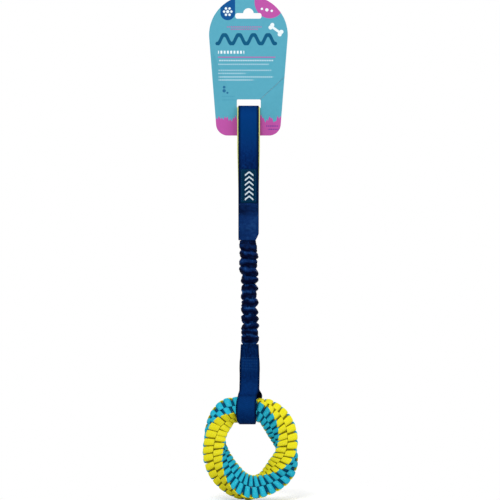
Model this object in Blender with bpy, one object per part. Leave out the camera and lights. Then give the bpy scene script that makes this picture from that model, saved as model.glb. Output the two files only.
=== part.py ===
"""Bungee tug toy on its hang card, hanging as it does on a shop's peg.

Metres, +Z up, the front faces -Y. The origin is the centre of the peg slot in the card.
From the top: a board card, a webbing hand loop through the card's strap slot, a ruched bungee
and a box-stitched ring of four flat laces, held by a webbing strap.
"""

import math

import bmesh
import bpy
import numpy as np
from mathutils import Vector

# Clearance between pieces that touch, and how far a cutter runs past its wall
CLEARANCE = 0.0003
CUT_OVERRUN = 0.002

# Hang card: a round head over a body that tapers to the foot
CARD_WIDTH = 0.096
CARD_THICKNESS = 0.0006
CARD_SHOULDER_DROP = 0.0263
CARD_FOOT_WIDTH = 0.0768
CARD_FOOT_DROP = 0.149
CARD_CORNER_RADIUS = 0.012

# Peg slot: level wings and a round bump in the middle
PEG_SLOT_WIDTH = 0.032
PEG_WING_HEIGHT = 0.0068
PEG_BUMP_DIAMETER = 0.0128
PEG_WING_CORNER_SHARE = 0.4

# Strap slot, and the slit from its corner to the card's edge
STRAP_SLOT_SIDE_PLAY = 0.001
STRAP_SLOT_SHIFT = 0.0005
STRAP_SLOT_HEIGHT = 0.0106
STRAP_SLOT_CORNER_RADIUS = 0.0022
STRAP_SLOT_FOOT_RADIUS = 0.0006
SLIT_WIDTH = 0.0005
SLIT_RISE_DEG = 42.5

# Hand loop
WEBBING_WIDTH = 0.025
WEBBING_THICKNESS = 0.0015
LINING_WIDTH = 0.0272
LINING_THICKNESS = 0.001
LINING_FULL_SHARE = 0.6
LINING_END_WIDTH_SHARE = 0.9
LOOP_TOP_DROP = 0.1124
LOOP_LENGTH = 0.1188
LOOP_FOLD_RADIUS = 0.003
HANDLE_SHIFT = 0.0002

# Label on the front of the hand loop
LABEL_WIDTH = 0.0193
LABEL_LENGTH = 0.041
LABEL_THICKNESS = 0.0005

# Sewn joint under the hand loop
COVER_WIDTH = 0.0248
COVER_LENGTH = 0.0454
COVER_THICKNESS = 0.0012
COVER_CUT_WIDTH = 0.0036
COVER_CUT_HEIGHT = 0.0078
COVER_CORNER_RADIUS = 0.0012
FRONT_END_LAP = 0.031
BACK_END_LAP = 0.0377
BUNGEE_END_WIDTH = 0.0165

# Bungee: the sleeve's gathers, and the elastic in its bore
BEND_AXIS_DROP = 0.003
NECK_RADIUS = 0.0024
NECK_HALF_WIDTH = 0.0094
NECK_SHIFT = -0.0007
NECK_LENGTH = 0.0032
NECK_SPREAD = 0.0008
SLEEVE_LENGTH = 0.1236
SLEEVE_FOOT_HALF_WIDTH = 0.0078
SLEEVE_FOOT_HALF_DEPTH = 0.0034
SLEEVE_DEPTH_SHARE = 0.9
SHOULDER_SHARE = 0.26
SHOULDER_SWELL_SHARE = 0.78
SLEEVE_RADIUS = 0.0104
CORE_RADIUS = 0.0034
CORE_END_RADIUS = 0.0016
BORE_TOP_DROP = 0.005

# One gather a row, top to bottom: its place along the sleeve as a share of the length, then as
# shares of the sleeve's radius its swell, its drift to the right, how much lower its right side
# hangs, and the half width and drift of the waist below it
GATHER_SHARES = (
    (0.050, 1.01, -0.04, 0.25, 0.84, 0.05),
    (0.120, 1.08, 0.09, 0.34, 0.79, 0.03),
    (0.200, 1.04, 0.00, 0.03, 0.86, -0.04),
    (0.285, 1.09, 0.05, 0.55, 0.72, 0.12),
    (0.372, 1.00, 0.16, -0.10, 0.58, 0.11),
    (0.450, 0.97, 0.16, -0.08, 0.74, 0.09),
    (0.523, 0.90, 0.04, -0.35, 0.68, 0.10),
    (0.595, 0.97, 0.21, -0.18, 0.73, 0.02),
    (0.678, 0.98, 0.16, 0.18, 0.65, 0.18),
    (0.752, 1.00, 0.15, 0.02, 0.66, 0.21),
    (0.832, 1.03, 0.21, -0.30, 0.80, 0.13),
    (0.888, 0.98, 0.16, 0.06, 0.83, 0.17),
    (0.942, 1.03, 0.22, 0.00, 0.78, 0.29),
)

# Ring strap: webbing sewn to itself over the bungee's end, then round the ring
STRAP_TOP_SHIFT = 0.0016
STRAP_SEWN_LENGTH = 0.033
STRAP_EYE_DROP = 0.077
STRAP_NECK_HEIGHT = 0.035
STRAP_HANDLE_SHARE = 0.34
STRAP_TANGENT_DEG = 30.0
# Width of the strap against the webbing's, down from its top to the eye's underside
STRAP_WIDTH_SHARES = ((0.0, 0.88), (0.2, 0.93), (0.26, 0.98), (0.4, 0.98), (0.46, 0.94),
                      (0.85, 0.92), (1.0, 1.0))
# Sideways drift of the strap as a share of its width, along its path round the eye
STRAP_FRONT_SHARE = 0.38
STRAP_DRIFT_SHARES = ((0.0, 0.0), (0.19, -0.01), (0.27, -0.05), (STRAP_FRONT_SHARE, -0.155), (0.5, -0.12),
                      (0.62, -0.06), (0.7, 0.19), (0.757, 0.0), (1.0, 0.0))

# Ring: a leaning oval, plaited in box stitch from two yellow and two cyan laces
RING_LONG_RADIUS = 0.0492
RING_SHORT_RADIUS = 0.0427
RING_LEAN_DEG = 22.0
RING_TOP_SHIFT = -0.0017
PLAIT_SIDE = 0.0276
FOLD_RISE = 0.0032
FOLD_INNER_RISE = 0.0005
CORNER_ROUNDING = 0.001
FOLD_COUNT = 34
LACE_GAP = 0.00036
PAIR_GAP = 0.0005
COLOUR_LINE_DEG = 42.0
WAIST_SHARE = 0.79
WAIST_MARGIN = 0.0028
WAIST_RUNOUT = 0.011
WAIST_SPAN_SHARE = 0.2

# How finely curves are drawn
CARD_ARC_STEP_DEG = 7.5
LOOP_STEPS = 20
NECK_CAP_STEPS = 3
BEZIER_STEPS = 7
EYE_STEPS = 16
SLEEVE_SIDES = 12
# A lace's stations from one pass over a fold to the next pass: how far along the fold as shares of
# its half length, its rise, and how far out from the middle of the plait
FOLD_SHARES = ((-1.0, 0.0, 0.0), (-1.0, 0.0, 1.0), (-1.03, 1.0, 1.0), (1.03, 1.0, 1.0), (1.0, 0.0, 1.0))
OVAL_SAMPLES = 1440

# Places that follow from the sizes above, all measured down from the peg slot's centre
LINING_TOP_DROP = LOOP_TOP_DROP + WEBBING_THICKNESS + CLEARANCE
LOOP_INNER_DROP = LINING_TOP_DROP + LINING_THICKNESS
SLOT_FOOT_DROP = LOOP_INNER_DROP + CLEARANCE
STRAP_SLOT_WIDTH = LINING_WIDTH + 2 * STRAP_SLOT_SIDE_PLAY
HEM_DROP = LOOP_TOP_DROP + LOOP_LENGTH
CLOSED_HALF_GAP = CLEARANCE / 2
LAYER_HALF_GAP = CLOSED_HALF_GAP + LINING_THICKNESS + CLEARANCE
BUNGEE_END_THICKNESS = 2 * (LAYER_HALF_GAP - CLEARANCE)
COVER_FOOT_DROP = HEM_DROP + COVER_LENGTH
BEND_DROP = COVER_FOOT_DROP + BEND_AXIS_DROP
SLEEVE_FOOT_DROP = BEND_DROP + SLEEVE_LENGTH
STRAP_TOP_DROP = SLEEVE_FOOT_DROP + CLEARANCE
EYE_DROP = STRAP_TOP_DROP + STRAP_EYE_DROP
BORE_RADIUS = CORE_RADIUS + CLEARANCE
BORE_END_RADIUS = CORE_END_RADIUS + CLEARANCE

NAVY = "#0B1D63"
NAVY_SATIN = "#12306E"
LIME = "#C9D94A"
LABEL_TEAL = "#0A3A5C"
CARD_TEAL = "#5BAFC8"
ELASTIC_WHITE = "#D8D6CC"
LACE_YELLOW = "#E8E026"
LACE_CYAN = "#28B9D2"


def clear_scene():
    """Empty the file, so that only the toy is in it."""
    for old in list(bpy.data.objects):
        bpy.data.objects.remove(old)


def linear(hex_colour):
    """Turn an sRGB hex colour into the linear values that a shader takes."""
    channels = [int(hex_colour[i:i + 2], 16) / 255 for i in (1, 3, 5)]
    return [c / 12.92 if c <= 0.04045 else ((c + 0.055) / 1.055) ** 2.4 for c in channels] + [1.0]


def finish_of(name, hex_colour, roughness):
    """Make one piece's material."""
    finish = bpy.data.materials.new(name)
    finish.use_nodes = True
    shader = finish.node_tree.nodes["Principled BSDF"]
    shader.inputs["Base Color"].default_value = linear(hex_colour)
    shader.inputs["Roughness"].default_value = roughness
    return finish


def solid(name, points, faces, hex_colour=None, roughness=0.8, smooth_deg=35.0):
    """Make an object of the points and faces, with its faces turned outwards.

    It is shaded smooth over edges up to the given angle, and flat if that is zero.
    """
    mesh = bpy.data.meshes.new(name)
    mesh.from_pydata([tuple(p) for p in points], [], faces)
    work = bmesh.new()
    work.from_mesh(mesh)
    bmesh.ops.recalc_face_normals(work, faces=work.faces)
    work.to_mesh(mesh)
    work.free()
    if smooth_deg:
        mesh.shade_smooth()
        mesh.set_sharp_from_angle(angle=math.radians(smooth_deg))
    piece = bpy.data.objects.new(name, mesh)
    bpy.context.collection.objects.link(piece)
    if hex_colour:
        mesh.materials.append(finish_of(name, hex_colour, roughness))
    return piece


def skin(name, sections, closed, hex_colour, roughness=0.8, smooth_deg=35.0):
    """Join sections of equally many points into one solid, with capped ends unless it closes."""
    size = len(sections[0])
    points = [p for section in sections for p in section]
    faces = []
    joins = len(sections) if closed else len(sections) - 1
    for i in range(joins):
        here = i * size
        there = ((i + 1) % len(sections)) * size
        for k in range(size):
            side = (k + 1) % size
            faces.append((here + k, here + side, there + side, there + k))
    if not closed:
        faces.append(tuple(range(size)))
        faces.append(tuple(range(len(points) - size, len(points))))
    return solid(name, points, faces, hex_colour, roughness, smooth_deg)


def prism(name, outline, front, back, hex_colour=None):
    """Extrude an outline of (x, z) points from y = front to y = back."""
    sections = [[Vector((x, y, z)) for x, z in outline] for y in (front, back)]
    return skin(name, sections, False, hex_colour, 0.8, 0.0)


def arc(centre, radius, start_deg, end_deg):
    """Points on an arc in the card's plane, both ends included."""
    steps = max(2, math.ceil(abs(end_deg - start_deg) / CARD_ARC_STEP_DEG))
    angles = [math.radians(start_deg + (end_deg - start_deg) * i / steps) for i in range(steps + 1)]
    return [(centre[0] + radius * math.cos(a), centre[1] + radius * math.sin(a)) for a in angles]


def rounded_box(x_range, z_range, radius, foot_radius=None):
    """Outline of a rectangle with round corners, which may be tighter at its foot."""
    left, right = x_range
    low, high = z_range
    foot = foot_radius or radius
    corners = ((right - radius, high - radius, radius, 0.0), (left + radius, high - radius, radius, 90.0),
               (left + foot, low + foot, foot, 180.0), (right - foot, low + foot, foot, 270.0))
    outline = []
    for x, z, bend, start in corners:
        outline += arc((x, z), bend, start, start + 90.0)
    return outline


def cut(piece, cutter):
    """Take the cutter's shape out of the piece, and keep the cutter as a guide."""
    cutter.hide_render = True
    cutter.display_type = "WIRE"
    hole = piece.modifiers.new(cutter.name, "BOOLEAN")
    hole.operation = "DIFFERENCE"
    hole.object = cutter


def between(stations, share):
    """Read a smooth value at a share from rows of (share, value)."""
    for (low, start), (high, end) in zip(stations, stations[1:]):
        if share <= high:
            turn = (share - low) / (high - low)
            return start + (end - start) * (1 - math.cos(math.pi * turn)) / 2
    return stations[-1][1]


def outward(path, distance):
    """Shift a path of (y, z) points to its left by a distance, square to its run."""
    shifted = []
    for i, (y, z) in enumerate(path):
        before = path[max(i - 1, 0)]
        after = path[min(i + 1, len(path) - 1)]
        run = Vector((after[0] - before[0], after[1] - before[1])).normalized()
        shifted.append((y - run[1] * distance, z + run[0] * distance))
    return shifted


def band(name, path, inner, outer, widths, centres, hex_colour, roughness=0.8):
    """A flat strip along a path of (y, z) points, between two distances to the path's left."""
    near = outward(path, inner)
    far = outward(path, outer)
    sections = []
    for (y0, z0), (y1, z1), width, x in zip(near, far, widths, centres):
        half = width / 2
        sections.append([Vector((x - half, y0, z0)), Vector((x + half, y0, z0)),
                         Vector((x + half, y1, z1)), Vector((x - half, y1, z1))])
    return skin(name, sections, False, hex_colour, roughness)


def card_outline():
    """Round head, straight tapering sides that touch it, and a foot with round corners."""
    radius = CARD_WIDTH / 2
    head = (0.0, -CARD_SHOULDER_DROP)
    foot = CARD_FOOT_DROP - CARD_SHOULDER_DROP
    half_foot = CARD_FOOT_WIDTH / 2
    taper = math.atan2(foot, half_foot) - math.acos(radius / math.hypot(foot, half_foot))
    corner_rise = CARD_CORNER_RADIUS - foot
    corner_x = (radius - CARD_CORNER_RADIUS + corner_rise * math.sin(taper)) / math.cos(taper)
    corner_z = head[1] + corner_rise
    taper_deg = math.degrees(taper)
    outline = arc(head, radius, -taper_deg, 180 + taper_deg)
    outline += arc((-corner_x, corner_z), CARD_CORNER_RADIUS, 180 + taper_deg, 270.0)
    outline += arc((corner_x, corner_z), CARD_CORNER_RADIUS, 270.0, 360 - taper_deg)
    return outline


def header_card():
    """The card with its peg slot, its strap slot and the slit that lets the hand loop in."""
    half = CARD_THICKNESS / 2
    past = half + CUT_OVERRUN
    card = prism("header_card", card_outline(), -half, half, CARD_TEAL)

    bump_radius = PEG_BUMP_DIAMETER / 2
    wings = rounded_box((-PEG_SLOT_WIDTH / 2, PEG_SLOT_WIDTH / 2),
                        (-bump_radius, PEG_WING_HEIGHT - bump_radius),
                        PEG_WING_HEIGHT * PEG_WING_CORNER_SHARE)
    cut(card, prism("peg_wings_cutter", wings, -past, past))
    bump = arc((0.0, 0.0), bump_radius, 0.0, 360.0)[:-1]
    cut(card, prism("peg_bump_cutter", bump, -past, past))

    slot_top = STRAP_SLOT_HEIGHT - SLOT_FOOT_DROP
    slot_right = STRAP_SLOT_SHIFT + STRAP_SLOT_WIDTH / 2
    slot = rounded_box((slot_right - STRAP_SLOT_WIDTH, slot_right), (-SLOT_FOOT_DROP, slot_top),
                       STRAP_SLOT_CORNER_RADIUS, STRAP_SLOT_FOOT_RADIUS)
    cut(card, prism("strap_slot_cutter", slot, -past, past))

    rise = math.radians(SLIT_RISE_DEG)
    along = Vector((math.cos(rise), math.sin(rise)))
    across = Vector((-along[1], along[0])) * SLIT_WIDTH / 2
    start = Vector((slot_right - STRAP_SLOT_CORNER_RADIUS, slot_top - STRAP_SLOT_CORNER_RADIUS))
    end = start + along * CARD_WIDTH
    slit = [start - across, end - across, end + across, start + across]
    cut(card, prism("slit_cutter", [tuple(p) for p in slit], -past, past))
    return card


def loop_side():
    """Half of the hand loop's inner path from its top to the hem, as (half gap, z) points.

    The gap opens like a fold of the named radius at the top and closes smoothly at the hem.
    """
    length = HEM_DROP - LOOP_INNER_DROP
    spread = math.sqrt(2 * LOOP_FOLD_RADIUS * length)
    side = []
    for i in range(LOOP_STEPS + 1):
        root = i / LOOP_STEPS
        share = root * root
        opening = spread * root * (1 - share) ** 1.5
        side.append((opening + CLOSED_HALF_GAP * min(1.0, 4 * root), -LOOP_INNER_DROP - share * length))
    return side


def loop_path():
    """The hand loop's inner path from the back hem over the top to the front hem."""
    side = loop_side()
    back = [(gap, z) for gap, z in reversed(side)]
    front = [(-gap, z) for gap, z in side]
    back[-1] = (0.0, back[-1][1])
    return back + front[1:]


def hand_loop():
    """Lining, webbing and label of the hand loop."""
    path = loop_path()
    middle = len(path) // 2
    narrowing = ((0.0, 1.0), (LINING_FULL_SHARE, 1.0), (1.0, LINING_END_WIDTH_SHARE))
    lining_widths = []
    for i in range(len(path)):
        lining_widths.append(LINING_WIDTH * between(narrowing, abs(i - middle) / middle))
    centres = [HANDLE_SHIFT] * len(path)
    lining_path = [(y, z + CLEARANCE if i in (0, len(path) - 1) else z) for i, (y, z) in enumerate(path)]
    lining = band("handle_lining", lining_path, 0.0, -LINING_THICKNESS, lining_widths, centres, LIME, 0.9)

    back_end = [(CLOSED_HALF_GAP, -HEM_DROP - BACK_END_LAP)]
    front_end = [(-CLOSED_HALF_GAP, -HEM_DROP - FRONT_END_LAP)]
    long_path = back_end + path + front_end
    inner = -(LINING_THICKNESS + CLEARANCE)
    outer = inner - WEBBING_THICKNESS
    webbing = band("handle_webbing", long_path, inner, outer, [WEBBING_WIDTH] * len(long_path),
                   [HANDLE_SHIFT] * len(long_path), NAVY)

    label_foot = -HEM_DROP + CLEARANCE
    label_head = label_foot + LABEL_LENGTH
    front = path[middle:]
    label_path = [cut_point(front, label_head)]
    label_path += [p for p in front if label_foot < p[1] < label_head]
    label_path.append(cut_point(front, label_foot))
    label_inner = outer - CLEARANCE
    label = band("handle_label", label_path, label_inner, label_inner - LABEL_THICKNESS,
                 [LABEL_WIDTH] * len(label_path), [HANDLE_SHIFT] * len(label_path), LABEL_TEAL, 0.7)
    return [lining, webbing, label]


def cut_point(path, height):
    """The point at a height on a path of (y, z) points that falls all the way."""
    for (y0, z0), (y1, z1) in zip(path, path[1:]):
        if z1 <= height <= z0:
            share = (z0 - height) / (z0 - z1)
            return (y0 + (y1 - y0) * share, height)
    return path[-1]


def sewn_joint():
    """The cover sewn over the joint, and the bungee's flat end between the webbing's layers."""
    half = COVER_WIDTH / 2
    left, right = HANDLE_SHIFT - half, HANDLE_SHIFT + half
    top = -HEM_DROP - CLEARANCE
    foot = -COVER_FOOT_DROP
    outline = [(right, top), (left, top)]
    corner = (left + COVER_CORNER_RADIUS, foot + COVER_CORNER_RADIUS)
    outline += arc(corner, COVER_CORNER_RADIUS, 180.0, 270.0)
    outline += [(right - COVER_CUT_WIDTH, foot), (right, foot + COVER_CUT_HEIGHT)]
    back = -(LAYER_HALF_GAP + WEBBING_THICKNESS + CLEARANCE)
    cover = prism("joint_cover", outline, back - COVER_THICKNESS, back, NAVY_SATIN)

    half_end = BUNGEE_END_WIDTH / 2
    end_top = -HEM_DROP - CLEARANCE
    end_foot = -BEND_DROP + NECK_RADIUS + CLEARANCE
    end_outline = rounded_box((HANDLE_SHIFT - half_end, HANDLE_SHIFT + half_end), (end_foot, end_top),
                              COVER_CORNER_RADIUS)
    half_thick = BUNGEE_END_THICKNESS / 2
    end = prism("bungee_upper_end", end_outline, -half_thick, half_thick, NAVY_SATIN)
    return [cover, end]


def gather_rings():
    """The sleeve's outer sections as (z, half width, half depth, drift, fall to the right)."""
    rings = []
    for i in range(NECK_CAP_STEPS, -1, -1):
        tilt = math.radians(75.0 * i / NECK_CAP_STEPS)
        rings.append((-BEND_DROP + NECK_RADIUS * math.sin(tilt), NECK_HALF_WIDTH,
                      NECK_RADIUS * math.cos(tilt), NECK_SHIFT, 0.0))
    above = (NECK_LENGTH / SLEEVE_LENGTH, NECK_HALF_WIDTH / SLEEVE_RADIUS, NECK_SHIFT / SLEEVE_RADIUS)
    rings.append((-BEND_DROP - NECK_LENGTH, NECK_HALF_WIDTH, NECK_RADIUS + NECK_SPREAD, NECK_SHIFT, 0.0))
    for row, (place, swell, drift, fall, waist, waist_drift) in enumerate(GATHER_SHARES):
        last = row == len(GATHER_SHARES) - 1
        next_place = 1.0 if last else GATHER_SHARES[row + 1][0]
        waist_place = (place + next_place) / 2
        next_fall = 0.0 if last else GATHER_SHARES[row + 1][3]
        upper = place - (place - above[0]) * SHOULDER_SHARE * 2
        lower = place + (waist_place - place) * SHOULDER_SHARE * 2
        for share, size, shift, hang in (
                (upper, above[1] + (swell - above[1]) * SHOULDER_SWELL_SHARE, drift, fall),
                (place, swell, drift, fall),
                (lower, waist + (swell - waist) * SHOULDER_SWELL_SHARE, drift, fall)):
            half = size * SLEEVE_RADIUS
            rings.append((-BEND_DROP - share * SLEEVE_LENGTH, half, half * SLEEVE_DEPTH_SHARE,
                          shift * SLEEVE_RADIUS, hang * SLEEVE_RADIUS))
        if not last:
            half = waist * SLEEVE_RADIUS
            rings.append((-BEND_DROP - waist_place * SLEEVE_LENGTH, half, half * SLEEVE_DEPTH_SHARE,
                          waist_drift * SLEEVE_RADIUS, (fall + next_fall) * SLEEVE_RADIUS / 2))
        above = (waist_place, waist, waist_drift)
    rings.append((-SLEEVE_FOOT_DROP, SLEEVE_FOOT_HALF_WIDTH, SLEEVE_FOOT_HALF_DEPTH, STRAP_TOP_SHIFT, 0.0))
    return rings


def core_stations():
    """The elastic's middle line as (z, drift, taper) rows: it follows the sleeve's waists."""
    top = -BEND_DROP - BORE_TOP_DROP
    stations = [(top, HANDLE_SHIFT, 0.0)]
    for row, (place, _, _, _, _, waist_drift) in enumerate(GATHER_SHARES[:-1]):
        waist_place = (place + GATHER_SHARES[row + 1][0]) / 2
        z = -BEND_DROP - waist_place * SLEEVE_LENGTH
        if z < top - BORE_TOP_DROP:
            stations.append((z, waist_drift * SLEEVE_RADIUS, 1.0))
    last_place = GATHER_SHARES[-1][0]
    last_drift = GATHER_SHARES[-1][5] * SLEEVE_RADIUS
    stations.append((-BEND_DROP - last_place * SLEEVE_LENGTH, last_drift, 1.0))
    stations.append((-SLEEVE_FOOT_DROP, STRAP_TOP_SHIFT, 0.0))
    return stations


def oval(centre_x, z, half_width, half_depth, fall=0.0, lean=0.0):
    """One level section of a soft tube, whose right side hangs lower by the fall."""
    section = []
    for k in range(SLEEVE_SIDES):
        turn = 2 * math.pi * k / SLEEVE_SIDES
        section.append(Vector((centre_x + half_width * math.cos(turn), half_depth * math.sin(turn),
                               z - fall * math.cos(turn) / 2 + lean * math.sin(turn))))
    return section


def bungee():
    """The ruched sleeve with its bore, and the elastic inside it."""
    outer = [oval(drift, z, half, depth, fall) for z, half, depth, drift, fall in gather_rings()]
    bore = []
    core = []
    for z, drift, full in core_stations():
        bore_radius = BORE_END_RADIUS + (BORE_RADIUS - BORE_END_RADIUS) * full
        core_radius = CORE_END_RADIUS + (CORE_RADIUS - CORE_END_RADIUS) * full
        bore.append(oval(drift, z, bore_radius, bore_radius))
        core.append(oval(drift, z, core_radius, core_radius))
    core[0] = [p - Vector((0.0, 0.0, CLEARANCE)) for p in core[0]]
    sleeve = skin("bungee_sleeve", outer + bore[::-1], False, NAVY_SATIN, 0.6, 80.0)
    elastic = skin("bungee_core", core, False, ELASTIC_WHITE, 0.6, 60.0)
    return [sleeve, elastic]


def oval_point(turn):
    """A point of the ring's middle line in its own plane, at an angle of the oval."""
    lean = math.radians(90 + RING_LEAN_DEG)
    along = RING_LONG_RADIUS * math.cos(turn)
    across = RING_SHORT_RADIUS * math.sin(turn)
    return Vector((along * math.cos(lean) - across * math.sin(lean),
                   along * math.sin(lean) + across * math.cos(lean)))


def oval_top():
    """The oval's angle at the ring's highest point."""
    lean = math.radians(90 + RING_LEAN_DEG)
    return math.atan2(RING_SHORT_RADIUS * math.cos(lean), RING_LONG_RADIUS * math.sin(lean))


def drawn_corner():
    """How far the plait's corners reach from its middle line where the strap draws it in."""
    half = PLAIT_SIDE / 2
    return math.hypot(half, half - LACE_GAP - CORNER_ROUNDING) * WAIST_SHARE


def tight_bend():
    """The oval's smallest radius of curvature, on its middle line."""
    return RING_SHORT_RADIUS ** 2 / RING_LONG_RADIUS


def eye_reach():
    """How far the strap's edge lies from the ring's highest point, in front of and under the ring."""
    middles = [STRAP_TOP_SHIFT + WEBBING_WIDTH * between(STRAP_DRIFT_SHARES, share)
               for share in (STRAP_FRONT_SHARE, 0.5)]
    return WEBBING_WIDTH / 2 + max(abs(middle - RING_TOP_SHIFT) for middle in middles)


def eye_radius():
    """Inner radius of the strap's eye, in which the drawn-in plait turns with its bow."""
    inner_bend = tight_bend() - drawn_corner()
    bow = inner_bend - math.sqrt(inner_bend ** 2 - eye_reach() ** 2)
    half_step = (math.pi / 2 + math.radians(STRAP_TANGENT_DEG)) / EYE_STEPS
    return (drawn_corner() + bow + CLEARANCE) / math.cos(half_step)


def strap_path():
    """Inner path of the ring strap from its front top, round under the ring, to its back top."""
    radius = eye_radius()
    tangent = math.radians(STRAP_TANGENT_DEG)
    top = -STRAP_TOP_DROP
    neck = Vector((-LAYER_HALF_GAP, -EYE_DROP + STRAP_NECK_HEIGHT))
    touch = Vector((-radius * math.cos(tangent), -EYE_DROP + radius * math.sin(tangent)))
    reach = (touch - neck).length * STRAP_HANDLE_SHARE
    pulls = (neck, neck - Vector((0.0, reach)),
             touch + Vector((math.sin(tangent), math.cos(tangent))) * reach, touch)
    front = [(-LAYER_HALF_GAP, top + (neck[1] - top) * i / 6) for i in range(6)]
    for i in range(BEZIER_STEPS):
        t = i / BEZIER_STEPS
        weights = ((1 - t) ** 3, 3 * t * (1 - t) ** 2, 3 * t * t * (1 - t), t ** 3)
        front.append(tuple(sum((p * w for p, w in zip(pulls, weights)), Vector((0.0, 0.0)))))
    path = list(front)
    for i in range(EYE_STEPS + 1):
        turn = math.pi - tangent + (math.pi + 2 * tangent) * i / EYE_STEPS
        path.append((radius * math.cos(turn), -EYE_DROP + radius * math.sin(turn)))
    path += [(-y, z) for y, z in reversed(front)]
    return path


def ring_strap():
    """The webbing strap round the ring, and the bungee's flat end sewn between its layers."""
    path = strap_path()
    runs = [0.0]
    for (y0, z0), (y1, z1) in zip(path, path[1:]):
        runs.append(runs[-1] + math.hypot(y1 - y0, z1 - z0))
    widths = []
    centres = []
    for (_, z), run in zip(path, runs):
        share = run / runs[-1]
        fall = min(1.0, max(0.0, (-STRAP_TOP_DROP - z) / STRAP_EYE_DROP))
        widths.append(WEBBING_WIDTH * between(STRAP_WIDTH_SHARES, fall))
        centres.append(STRAP_TOP_SHIFT + WEBBING_WIDTH * between(STRAP_DRIFT_SHARES, share))
    strap = band("ring_strap", path, 0.0, -WEBBING_THICKNESS, widths, centres, NAVY)

    half = BUNGEE_END_WIDTH / 2
    top = -STRAP_TOP_DROP
    outline = rounded_box((STRAP_TOP_SHIFT - half, STRAP_TOP_SHIFT + half), (top - STRAP_SEWN_LENGTH, top),
                          COVER_CORNER_RADIUS)
    half_thick = BUNGEE_END_THICKNESS / 2
    end = prism("bungee_lower_end", outline, -half_thick, half_thick, NAVY_SATIN)
    return [strap, end]


class Ring:
    """Turns a place in the straight plait into a place in the bent and twisted ring."""

    def __init__(self):
        turns = np.linspace(0.0, 2 * math.pi, OVAL_SAMPLES + 1)
        points = np.array([oval_point(t)[:] for t in turns])
        steps = np.hypot(*np.diff(points, axis=0).T)
        runs = np.concatenate(([0.0], np.cumsum(steps)))
        self.length = float(runs[-1])
        self.turns = turns
        self.shares = runs / self.length
        top_turn = oval_top() % (2 * math.pi)
        self.top_share = float(np.interp(top_turn, turns, self.shares))
        top = oval_point(top_turn)
        self.centre = Vector((RING_TOP_SHIFT - top[0], 0.0, -EYE_DROP - top[1]))
        angles = np.unwrap(np.arctan2(points[:, 1], points[:, 0]))
        line = math.radians(COLOUR_LINE_DEG)
        line += 2 * math.pi * math.ceil((angles[0] - line) / (2 * math.pi))
        self.line_share = float(np.interp(line, angles, self.shares))

    def waist(self, share, point):
        """How far the strap draws the plait in at a point of it."""
        off = abs((share - self.top_share + 0.5) % 1.0 - 0.5)
        if off > WAIST_SPAN_SHARE:
            return 1.0
        edge = eye_reach() + WAIST_MARGIN
        stations = ((0.0, WAIST_SHARE), (edge, WAIST_SHARE), (edge + WAIST_RUNOUT, 1.0))
        return between(stations, abs(point[0] - RING_TOP_SHIFT))

    def place(self, share, u, v):
        """The world place of a point at a share of the length, u and v off the middle line."""
        turn = float(np.interp(share % 1.0, self.shares, self.turns))
        step = 2 * math.pi / OVAL_SAMPLES
        run = (oval_point(turn + step) - oval_point(turn - step)).normalized()
        out = Vector((run[1], 0.0, -run[0]))
        front = Vector((0.0, -1.0, 0.0))
        twist = math.radians(45.0) - 2 * math.pi * (share - self.line_share)
        v_way = out * math.cos(twist) + front * math.sin(twist)
        u_way = front * math.cos(twist) - out * math.sin(twist)
        middle = oval_point(turn)
        middle = self.centre + Vector((middle[0], 0.0, middle[1]))
        offset = u_way * u + v_way * v
        return middle + offset * self.waist(share, middle + offset)


def lace(ring, name, column, offset, swapped, hex_colour):
    """One flat lace of the box stitch, closed on itself round the ring.

    It crosses the plait in every layer and folds over at each face, inside its own half of the
    section. The column, 1 or -1, says which half. A swapped lace crosses the other way.
    """
    brick = 1.0 / FOLD_COUNT
    pass_step = brick / 2
    gap = LACE_GAP / ring.length
    thick = brick / 4 - gap
    half_side = PLAIT_SIDE / 2
    fold_base = half_side - FOLD_RISE
    sections = []
    for k in range(2 * FOLD_COUNT):
        face = 1 if k % 2 == 0 else -1
        middle = offset * brick + k * pass_step + pass_step / 2
        for reach, rise, out in FOLD_SHARES:
            outer_s = middle + (pass_step / 2 + thick / 2) * reach
            inner_s = middle + (pass_step / 2 - thick / 2) * reach
            outer_edge = fold_base + FOLD_RISE * rise
            inner_edge = fold_base + FOLD_INNER_RISE * rise
            outer_v = outer_edge - fold_base * (1 - out)
            inner_v = inner_edge - fold_base * (1 - out)
            outer_u = outer_edge - LACE_GAP - CORNER_ROUNDING * rise
            inner_u = inner_edge - LACE_GAP
            near = PAIR_GAP / 2
            outer = [(outer_s, near, outer_v), (outer_s, outer_u, outer_v)]
            inner = [(inner_s, inner_u, inner_v), (inner_s, near, inner_v)]
            corners = outer + inner if face > 0 else inner[::-1] + outer[::-1]
            section = []
            for s, u, v in corners:
                across, along = u * column, v * face * column
                if swapped:
                    across, along = along, across
                section.append(ring.place(s, across, along))
            # Both halves then fold their twisted sides along the same diagonal
            sections.append(section[::column])
    return skin(name, sections, True, hex_colour, 0.75)


def plaited_ring():
    """Two yellow laces that fold on two faces of the plait, two cyan ones on the other two."""
    ring = Ring()
    half_layer = 0.25
    return [
        lace(ring, "lace_yellow_a", 1, 0.0, False, LACE_YELLOW),
        lace(ring, "lace_yellow_b", -1, 0.0, False, LACE_YELLOW),
        lace(ring, "lace_cyan_a", 1, half_layer, True, LACE_CYAN),
        lace(ring, "lace_cyan_b", -1, half_layer, True, LACE_CYAN),
    ]


def axis_empty(name, place, parent):
    """An empty on a joint's axis, which carries the pieces that move with it."""
    empty = bpy.data.objects.new(name, None)
    bpy.context.collection.objects.link(empty)
    empty["place"] = tuple(place)
    empty.location = place
    if parent:
        empty.parent = parent
        empty.location = place - Vector(parent["place"])
    return empty


def carry(pieces, empty):
    """Hang pieces on a joint's empty without moving them."""
    for piece in pieces:
        piece.parent = empty
        piece.location = -Vector(empty["place"])


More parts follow.
